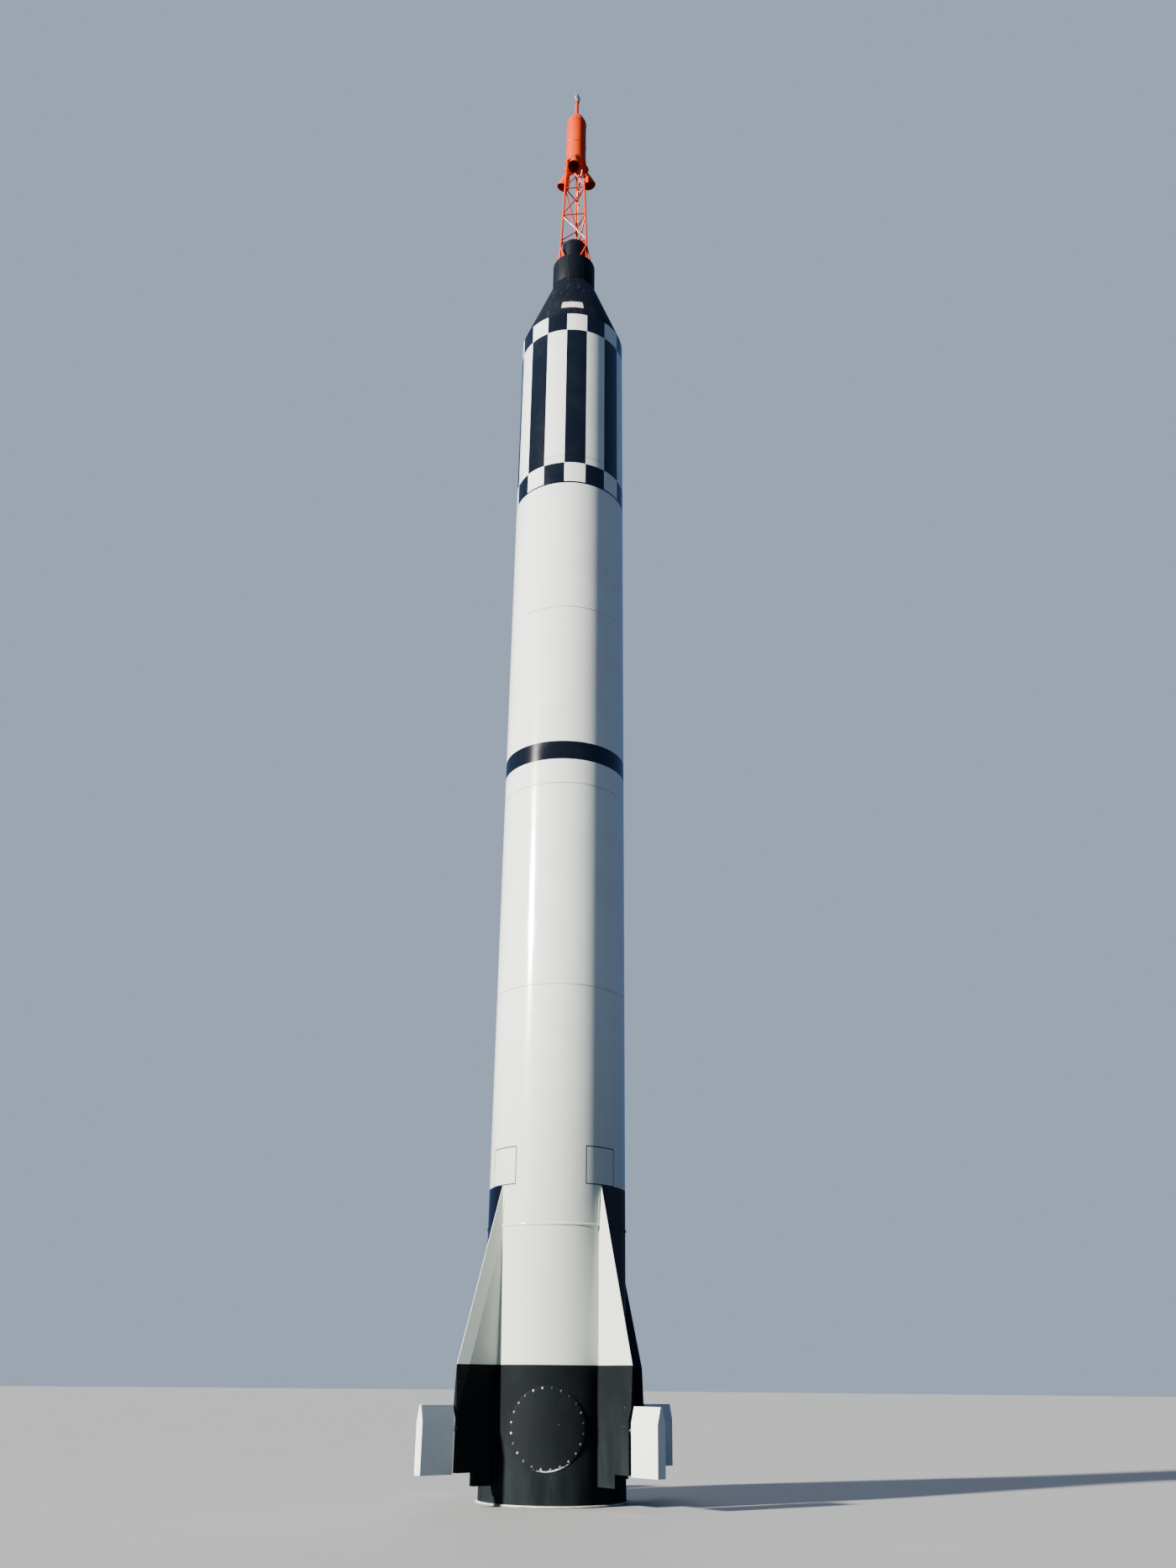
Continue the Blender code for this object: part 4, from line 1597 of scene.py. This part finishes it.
@dataclass
class Capsule:
    """The black cone, its neck and the canister on top, with the blank plate."""

    finishes: Finishes
    segments: int = 160
    foot_edge: float = 0.0015
    cone_rim: float = 0.003
    rim: float = 0.006
    bead_radius: float = 0.005
    bead_points: int = 120
    plate_angle: float = 230.3
    plate_width: float = 0.375
    plate_levels: tuple[float, float] = (18.372, 18.578)
    plate_thickness: float = 0.003
    plate_gap: float = 0.0004
    plate_grid: tuple[int, int] = (16, 6)
    screw_share: float = 0.93
    screw_inset: float = 0.018
    screw_rise: float = 0.30

    def build_turned(self) -> None:
        """Build the three round pieces with softened rims."""
        low, high = span("capsule_cone")
        foot, neck, can = girth("capsule_cone"), girth("capsule_neck"), girth("antenna_canister")
        rows = (
            ("capsule_cone", [(0.0, low), (foot, low), (neck, high), (0.0, high)], self.cone_rim),
            ("capsule_neck", disc(neck, *span("capsule_neck")), self.rim),
            ("antenna_canister", disc(can, *span("antenna_canister")), self.rim),
        )
        for node, points, rim in rows:
            skin = revolve(rounded(points, (0.0, self.foot_edge, rim, 0.0), 4), self.segments)
            add_piece(node + "_skin", skin, Slot.BLACK, self.finishes.capsule_black, nodes=[node])

    def on_cone(self, angle: float, level: float, proud: float) -> Vector:
        """Return a point on the cone.

        Args:
            angle: degrees about the rocket's axis.
            level: height over the pad.
            proud: distance out from the cone's face.

        Returns:
            The point.
        """
        low, high = span("capsule_cone")
        foot, neck = girth("capsule_cone"), girth("capsule_neck")
        share = (level - low) / (high - low)
        slope = Vector((high - low, foot - neck)).normalized()
        radius = foot + share * (neck - foot) + proud * slope.x
        return polar(angle, radius, level + proud * slope.y)

    @property
    def plate_swing(self) -> float:
        """Half the plate's width as an angle about the axis, in degrees."""
        middle = self.on_cone(self.plate_angle, sum(self.plate_levels) / 2, 0.0)
        return math.degrees(self.plate_width / 2 / math.hypot(middle.x, middle.y))

    def build_plate(self) -> None:
        """Set the thin blank plate on the front of the cone."""
        bm = bmesh.new()
        columns, rows = self.plate_grid
        low, high = self.plate_levels
        swing = self.plate_swing
        angles = [self.plate_angle + swing * (2 * column / columns - 1) for column in range(columns + 1)]
        levels = [low + (high - low) * row / rows for row in range(rows + 1)]
        edges = []
        for proud in (self.plate_gap, self.plate_thickness):
            grid = [[bm.verts.new(self.on_cone(angle, z, proud)) for angle in angles] for z in levels]
            for lower, upper in zip(grid, grid[1:]):
                for column in range(columns):
                    bm.faces.new((lower[column], lower[column + 1], upper[column + 1], upper[column]))
            left = [row[0] for row in grid[-2:0:-1]]
            right = [row[-1] for row in grid[1:]]
            edges.append(grid[0] + right + grid[-1][-2::-1] + left)
        under, over = edges
        for step in range(len(under)):
            following = (step + 1) % len(under)
            bm.faces.new((under[step], under[following], over[following], over[step]))
        bmesh.ops.recalc_face_normals(bm, faces=bm.faces[:])
        add_piece("cone_blank_plate", bm, Slot.BLACK, self.finishes.enamel)

    def build_plate_screws(self) -> None:
        """Set a screw in each corner of the plate."""
        low, high = self.plate_levels
        swing = self.plate_swing * self.screw_share
        corners = [
            self.on_cone(self.plate_angle + side * swing, level, self.plate_thickness)
            for side in (-1, 1)
            for level in (low + self.screw_inset, high - self.screw_inset)
        ]
        fasten(
            "cone_plate_screws",
            [outward(corner, self.screw_rise) for corner in corners],
            head_radius=0.006,
            head_height=0.003,
            washer_radius=0.008,
            washer_height=0.001,
            head_sides=10,
            seed=8,
            material=self.finishes.zinc,
        )

    def build_sealant(self) -> None:
        """Run a thin sealant bead round the canister's foot and under the neck."""
        rows = (
            ("canister_foot_bead", girth("antenna_canister") + 0.001, span("antenna_canister")[0] + 0.003),
            ("neck_foot_bead", girth("capsule_neck") + 0.002, span("capsule_neck")[0] + 0.002),
        )
        for name, radius, level in rows:
            sweep(
                name,
                [[polar(angle, radius, level) for angle in turns(self.bead_points)]],
                Slot.BLACK,
                cyclic=True,
                radius=self.bead_radius,
                sides=8,
                waver=0.0012,
                waver_scale=18.0,
                seed=6.0,
                material=self.finishes.capsule_black,
            )

    def build(self) -> None:
        """Build the capsule's upper parts."""
        self.build_turned()
        self.build_plate()
        self.build_plate_screws()
        self.build_sealant()


@dataclass
class Tower:
    """The welded lattice tower between the neck and the motor."""

    finishes: Finishes
    height: float = 2.81
    knee: float = 0.46
    low_radius: float = 0.279
    high_radius: float = 0.187
    leg_radius: float = 0.020
    leg_gap: float = 0.0005
    brace_radius: float = 0.014
    foot_radius: float = 0.016
    node_offset: float = 0.045
    foot_spread: float = 0.20
    lowest_rail: float = 0.595
    leans: tuple[int, ...] = (1, -1, 1)
    angles: tuple[float, ...] = (165.0, 285.0, 45.0)
    nodes: tuple[str, ...] = ("tower_side_left", "tower_side_right", "tower_side_rear")
    crisp: float = 50.0
    weld_radius: float = 0.0045
    weld_rise: float = 0.6
    conduit_radius: float = 0.0085
    conduit_heights: tuple[float, ...] = (1.78, 1.40, 1.00, 0.62, 0.46)
    conduit_end: float = 0.004
    clip_radius: float = 0.0028
    clip_girth: float = 1.15
    clip_shift: float = 0.26
    clip_heights: tuple[float, ...] = (0.66, 1.05, 1.44, 1.76)

    # Each row: angle about the axis, radius and level of the conduit below the connector
    conduit_drop: tuple[tuple[float, float, float], ...] = (
        (18.0, 0.190, 22.812),
        (20.0, 0.187, 22.720),
        (24.0, 0.178, 22.580),
        (28.0, 0.176, 22.450),
        (31.5, 0.184, 22.330),
        (36.0, 0.204, 22.140),
    )

    @property
    def base(self) -> float:
        """The level of the tower's feet, just over the neck's top."""
        return span("capsule_neck")[1] + CLEARANCE

    def leg_point(self, angle: float, height: float) -> Vector:
        """Return the point on a leg's centre line at a height over the neck."""
        share = (height - self.knee) / (self.height - self.knee)
        radius = self.low_radius + share * (self.high_radius - self.low_radius)
        return polar(angle, radius, self.base + height)

    def leg_paths(self) -> list[list[Vector]]:
        """Return the three legs, from the neck to the motor's flange."""
        ends = (self.leg_gap, self.height - self.leg_gap)
        return [[self.leg_point(angle, end) for end in ends] for angle in self.angles]

    def brace_paths(self) -> list[list[Vector]]:
        """Return the rails and diagonals of the three sides.

        Returns:
            The two ends of each bar, a rail and then its diagonal.
        """
        bay = (self.height - self.lowest_rail) / len(self.leans)
        paths = []
        for angle, following in zip(self.angles, (*self.angles[1:], self.angles[0])):
            for number, lean in enumerate(self.leans):
                height = self.lowest_rail + number * bay
                paths.append([self.leg_point(angle, height), self.leg_point(following, height)])
                low, high = (following, angle) if lean > 0 else (angle, following)
                start = self.leg_point(low, height + self.node_offset)
                paths.append([start, self.leg_point(high, height + bay - self.node_offset)])
        return paths

    def foot_paths(self) -> list[list[Vector]]:
        """Return the splayed bars that brace each leg's foot.

        Returns:
            The two ends of each bar, its sole first.
        """
        paths = []
        for angle in self.angles:
            for way in (-1, 1):
                across = polar(angle + 90.0, way * self.foot_spread, 0.0)
                sole = polar(angle, self.low_radius, self.base) + across
                paths.append([sole, self.leg_point(angle, self.knee)])
        return paths

    def build_bars(self) -> None:
        """Sweep the legs, the braces and the foot bars."""
        rows = (
            ("tower_legs", self.leg_paths(), self.leg_radius, 24, self.finishes.red, self.nodes),
            ("tower_braces", self.brace_paths(), self.brace_radius, 18, self.finishes.brace_red, ()),
            ("tower_foot_bars", self.foot_paths(), self.foot_radius, 18, self.finishes.red, ()),
        )
        for name, paths, radius, sides, paint, nodes in rows:
            bars = sweep(name, paths, Slot.RED, nodes, radius=radius, sides=sides, material=paint)
            smooth(bars, self.crisp)

    def weld_rings(self) -> list[list[Vector]]:
        """Return a ring round each bar where it meets a leg or the neck.

        Returns:
            The points of each ring.
        """
        half = self.weld_radius / 2
        rings = []
        for start, end in self.brace_paths():
            way = (end - start).normalized()
            for place in (start + way * self.leg_radius, end - way * self.leg_radius):
                rings.append(ring_round(place, way, self.brace_radius + half))
        for sole, knee in self.foot_paths():
            way = (knee - sole).normalized()
            rings.append(ring_round(sole + way * self.weld_radius, way, self.foot_radius + half))
        for foot, _ in self.leg_paths():
            place = foot + UP * self.weld_radius * self.weld_rise
            rings.append(ring_round(place, UP, self.leg_radius + half))
        return rings

    def build_welds(self) -> None:
        """Lay the weld beads of every joint."""
        sweep(
            "tower_welds",
            self.weld_rings(),
            Slot.RED,
            cyclic=True,
            radius=self.weld_radius,
            sides=7,
            waver=0.0015,
            waver_scale=60.0,
            seed=9.0,
            material=self.finishes.red,
        )

    def beside_rear_leg(self, height: float) -> Vector:
        """Return the conduit's place beside the rear leg at a height over the neck."""
        reach = self.leg_radius + self.conduit_radius
        return self.leg_point(self.angles[2], height) + polar(self.angles[2] - 90.0, reach, 0.0)

    def build_conduit(self) -> None:
        """Run the pale firing lead's conduit from the motor's connector down the rear leg, in its clips."""
        route = [polar(*drop) for drop in self.conduit_drop]
        route += [self.beside_rear_leg(height) for height in self.conduit_heights]
        route.append(self.beside_rear_leg(0.0) + UP * self.conduit_end)
        sheath = self.finishes.sheath
        path = smooth_route(route)
        sweep(
            "firing_lead_conduit", [path], Slot.METAL, radius=self.conduit_radius, sides=12, material=sheath
        )
        reach = self.leg_radius + self.conduit_radius * self.clip_girth
        clips = []
        for height in self.clip_heights:
            leg = self.leg_point(self.angles[2], height)
            middle = leg.lerp(self.beside_rear_leg(height), self.clip_shift)
            clips.append(ring_round(middle, UP, reach))
        sweep(
            "conduit_clips",
            clips,
            Slot.METAL,
            cyclic=True,
            radius=self.clip_radius,
            sides=8,
            material=self.finishes.zinc,
        )

    def build(self) -> None:
        """Build the welded tower and what is clipped to it."""
        self.build_bars()
        self.build_welds()
        self.build_conduit()


@dataclass
class EscapeMotor:
    """The motor case with its flange, bands, nozzles, rod and finial."""

    finishes: Finishes
    segments: int = 128
    shoulder_radius: float = 0.135
    shoulder_drop: float = 0.09
    shoulder_height: float = 0.15
    crown_radius: float = 0.054
    case_rounding: tuple[float, ...] = (0.0, 0.002, 0.12, 0.05, 0.01, 0.0)
    edge: float = 0.004
    bands: tuple[str, ...] = ("motor_band_lower", "motor_band_middle", "motor_band_upper")
    band_fullness: float = 0.7
    band_crisp: float = 60.0
    screw_angle: float = 198.0
    screw_sink: float = 0.0015
    tilt: float = 19.0
    exit_offset: float = 0.305
    drop: float = 0.40
    wall: float = 0.007
    dome_height: float = 0.067
    dome_start: float = 0.2
    dome_steps: int = 8
    nozzle_segments: int = 96
    lined_floor_faces: int = 15
    rod_edge: float = 0.002
    rod_segments: int = 48
    finial_segments: int = 64
    nut_radius: float = 0.056
    nut_height: float = 0.048
    nut_sides: int = 6
    plug_place: tuple[float, float] = (18.0, 0.190)
    plug_gap: float = 0.0004
    plug_segments: int = 32
    angles: tuple[tuple[str, float], ...] = (("front", 225.0), ("right", 345.0), ("left", 105.0))

    # Columns: radius and height over the mouth of the bell, then of the round housing on it
    bell = ((0.120, 0.0), (0.087, 0.165), (0.045, 0.330))
    housing = ((0.092, 0.368), (0.092, 0.413))
    nozzle_rounding = (0.0, 0.01, 0.2, 0.0, 0.0, 0.25, 0.01, 0.004, 0.0)

    # Columns: radius of each step of the finial above its foot
    finial_steps = (0.066, 0.050, 0.030)
    finial_rounding = (0.0, 0.002, 0.004, 0.005, 0.004, 0.005, 0.004, 0.008, 0.0)

    # Columns: radius and depth under the flange of the lead's plug, from its tip up
    plug = (
        (0.0, -0.142),
        (0.012, -0.142),
        (0.018, -0.118),
        (0.034, -0.112),
        (0.040, -0.100),
        (0.040, -0.084),
        (0.035, -0.080),
        (0.035, -0.056),
        (0.016, -0.048),
        (0.010, -0.044),
        (0.010, -0.006),
        (0.017, -0.005),
        (0.017, 0.0),
        (0.0, 0.0),
    )

    def add_red(self, node: str, bm: Surface, *linings: Material, crisp: float = 32.0) -> None:
        """Add the red skin of a node."""
        skin = node + "_skin"
        add_piece(skin, bm, Slot.RED, self.finishes.red, *linings, nodes=[node], crisp=crisp)

    def build_case(self) -> None:
        """Build the flange plate and, on it, the case with its rounded head."""
        rim = (0.0, self.edge, self.edge, 0.0)
        flange = rounded(disc(girth("motor_flange"), *span("motor_flange")), rim, 3)
        self.add_red("motor_flange", revolve(flange, self.segments))
        low, crown = span("motor_case")
        radius = girth("motor_case")
        shoulder = crown - self.shoulder_drop
        points = [
            (0.0, low),
            (radius, low),
            (radius, shoulder - self.shoulder_height),
            (self.shoulder_radius, shoulder),
            (self.crown_radius, crown),
            (0.0, crown),
        ]
        self.add_red("motor_case", revolve(rounded(points, self.case_rounding, 8), self.segments))

    def build_bands(self) -> None:
        """Build the three half-round hoops."""
        inner = girth("motor_case") + CLEARANCE
        for node in self.bands:
            low, high = span(node)
            depth = girth(node) - inner
            half = (high - low) / 2
            middle = (low + high) / 2
            bulge = [
                (inner + depth * out**self.band_fullness, middle + half * up)
                for out, up in half_round()[1:-1]
            ]
            hoop = revolve([(inner, low), *bulge, (inner, high)], self.segments, closed=True)
            self.add_red(node, hoop, crisp=self.band_crisp)

    def nozzle_place(self, angle: float) -> Matrix:
        """Return the place and tilt of a nozzle whose mouth faces down its own -Z."""
        mouth = polar(angle, self.exit_offset, span("motor_flange")[0] - self.drop)
        turn = Matrix.Rotation(math.radians(angle), 4, "Z")
        cant = Matrix.Rotation(math.radians(-self.tilt), 4, "Y")
        return Matrix.Translation(mouth) @ turn @ cant

    def build_nozzles(self) -> None:
        """Build the three canted bells, red outside and, inside, a darker red of light soot and painted
        shade.
        """
        inside = [(radius - self.wall, level) for radius, level in reversed(self.bell)]
        radius, top = self.housing[-1]
        bends = np.linspace(self.dome_start, math.pi / 2, self.dome_steps)
        dome = [(radius * math.cos(a), top + self.dome_height * math.sin(a)) for a in bends]
        body = [(0.0, inside[0][1]), *inside, *self.bell, *self.housing, *dome]
        profile = rounded(body, [*self.nozzle_rounding, *([0.0] * len(dome))], 6)
        for name, angle in self.angles:
            bm = revolve(profile, self.nozzle_segments)
            bm.faces.ensure_lookup_table()
            for face in bm.faces:
                inward = face.normal.xy.dot(face.calc_center_median().xy) < 0
                face.material_index = int(inward or face.index < self.lined_floor_faces)
            bm.transform(self.nozzle_place(angle))
            self.add_red("escape_nozzle_" + name, bm, self.finishes.lining)

    def build_top(self) -> None:
        """Build the rod, the stepped finial and the nut under it."""
        radius = girth("top_rod")
        rod = rounded(disc(radius, *span("top_rod")), (0.0, 0.0, self.rod_edge, 0.0))
        self.add_red("top_rod", revolve(rod, self.rod_segments))
        low, high = span("finial")
        step = (high - low) / 3
        foot, waist, tip = self.finial_steps
        profile = [(0.0, low), (radius, low), (foot, low + step / 2), (foot, low + step)]
        profile += [(waist, low + step), (waist, low + 2 * step), (tip, low + 2 * step), (tip, high)]
        profile = rounded([*profile, (0.0, high)], self.finial_rounding)
        alloy = self.finishes.alloy
        skin = revolve(profile, self.finial_segments)
        add_piece("finial_skin", skin, Slot.METAL, alloy, nodes=["finial"])
        base, seat = low - self.nut_height, low - CLEARANCE
        bore = (radius + CLEARANCE) / math.cos(math.pi / self.nut_sides)
        ring = [(bore, base), (self.nut_radius, base), (self.nut_radius, seat), (bore, seat)]
        ring = rounded(ring, (0.0, self.edge, self.edge, 0.0))
        nut = new_piece("finial_nut", revolve(ring, self.nut_sides, closed=True), alloy)
        enlist(nut)

    def build_plug(self) -> None:
        """Hang the bright plug of the firing lead under the flange."""
        bm = revolve(list(self.plug), self.plug_segments)
        top = span("motor_flange")[0] - self.plug_gap
        bm.transform(Matrix.Translation(polar(*self.plug_place, top)))
        add_piece("firing_lead_plug", bm, Slot.METAL, self.finishes.alloy)

    def build_band_screws(self) -> None:
        """Set the screw that draws each hoop tight."""
        seats = [polar(self.screw_angle, girth(b) - self.screw_sink, sum(span(b)) / 2) for b in self.bands]
        fasten(
            "motor_band_screws",
            [outward(seat) for seat in seats],
            head_radius=0.010,
            washer_radius=0.012,
            seed=2,
            material=self.finishes.zinc,
        )

    def build(self) -> None:
        """Build the motor from the flange up."""
        self.build_case()
        self.build_bands()
        self.build_nozzles()
        self.build_top()
        self.build_plug()
        self.build_band_screws()


@dataclass(frozen=True)
class CameraPlace:
    """The camera, as fitted to the photograph's 1400 by 1867 pixels."""

    place: Place = (-10.813, -13.594, 1.282)
    heading: float = -39.66
    pitch: float = 25.307
    roll: float = 0.535
    lens: float = 28.0
    sensor_height: float = 34.62
    reach: float = 400.0


@dataclass(frozen=True)
class Lamp:
    """A lamp that is far enough away to light all heights alike.

    Its spread is how wide it looks, in degrees: a wide lamp throws soft shadows.
    """

    name: str
    energy: float
    spread: float
    colour: Colour
    towards: Place
    mirrored: bool

    def hang(self) -> None:
        """Put the lamp in the scene."""
        data = bpy.data.lights.new(self.name, "SUN")
        data.energy = self.energy
        data.angle = math.radians(self.spread)
        data.color = self.colour
        lamp = bpy.data.objects.new(self.name, data)
        lamp.rotation_euler = Vector(self.towards).to_track_quat("Z", "Y").to_euler()
        lamp.visible_glossy = self.mirrored
        bpy.context.scene.collection.objects.link(lamp)


@dataclass
class Studio:
    """Camera, pale floor and soft light."""

    camera: CameraPlace = CameraPlace()
    floor_radius: float = 260.0
    floor_tones: tuple[Colour, Colour] = ((0.31, 0.308, 0.302), (0.34, 0.338, 0.331))
    bounce: Colour = (0.066, 0.077, 0.092)
    fill: Colour = (0.048, 0.098, 0.21)
    mirrored: Colour = (0.075, 0.138, 0.34)
    backdrop: Colour = (0.36, 0.45, 0.58)
    lamps: tuple[Lamp, ...] = (
        Lamp("key", 15.2, 3.0, (1.0, 0.97, 0.91), (-0.932, 0.123, 0.342), True),
        Lamp("back", 2.6, 40.0, (0.92, 0.96, 1.0), (0.585, 0.735, 0.342), False),
    )

    def build_camera(self) -> None:
        """Set up the camera from its fitted place."""
        data = bpy.data.cameras.new("camera")
        data.lens = self.camera.lens
        data.sensor_fit = "VERTICAL"
        data.sensor_height = self.camera.sensor_height
        data.clip_end = self.camera.reach
        eye = bpy.data.objects.new("camera", data)
        turn = Matrix.Rotation(math.radians(self.camera.heading), 4, "Z")
        rise = Matrix.Rotation(math.radians(90.0 + self.camera.pitch), 4, "X")
        roll = Matrix.Rotation(math.radians(self.camera.roll), 4, "Z")
        eye.matrix_world = Matrix.Translation(self.camera.place) @ turn @ rise @ roll
        bpy.context.scene.collection.objects.link(eye)
        bpy.context.scene.camera = eye

    def build_floor(self) -> None:
        """Lay a wide pale floor that throws back less light than it shows."""
        bm = bmesh.new()
        bmesh.ops.create_circle(bm, cap_ends=True, segments=96, radius=self.floor_radius)
        material = bpy.data.materials.new("studio_floor")
        material.use_nodes = True
        shader = material.node_tree.nodes["Principled BSDF"]
        graph = Graph(material.node_tree)
        place = graph.add("ShaderNodeTexCoord").outputs["Object"]
        tone = graph.mix(graph.noise(place, 0.6), *self.floor_tones)
        seen = graph.add("ShaderNodeLightPath").outputs["Is Camera Ray"]
        graph.join(graph.mix(seen, self.bounce, tone), shader.inputs["Base Color"])
        shader.inputs["Roughness"].default_value = 0.9
        floor = new_piece("studio_floor", bm, material)

    def build_light(self) -> None:
        """Light the rocket from the photograph's bright side, with a soft lamp behind and a sky."""
        for lamp in self.lamps:
            lamp.hang()
        world = bpy.data.worlds.new("studio")
        bpy.context.scene.world = world
        world.use_nodes = True
        graph = Graph(world.node_tree)
        fill = world.node_tree.nodes["Background"]
        fill.inputs["Color"].default_value = (*self.fill, 1.0)
        sky = fill.outputs[0]
        rays = graph.add("ShaderNodeLightPath").outputs
        for ray, colour in (("Is Glossy Ray", self.mirrored), ("Is Camera Ray", self.backdrop)):
            other = graph.out("ShaderNodeBackground", {0: (*colour, 1.0)})
            sky = graph.out("ShaderNodeMixShader", {0: rays[ray], 1: sky, 2: other})
        graph.join(sky, world.node_tree.nodes["World Output"].inputs["Surface"])

    def build(self) -> None:
        """Build camera, floor and light."""
        self.build_camera()
        self.build_floor()
        self.build_light()


def main() -> None:
    """Build the studio, then the rocket from the pad up."""
    logging.basicConfig(level=logging.INFO, format="%(message)s")
    finishes = Finishes()
    Studio().build()
    for section in (Hull, AccessCover, FinSet, Capsule, Tower, EscapeMotor):
        section(finishes).build()


if __name__ == "__main__":
    main()
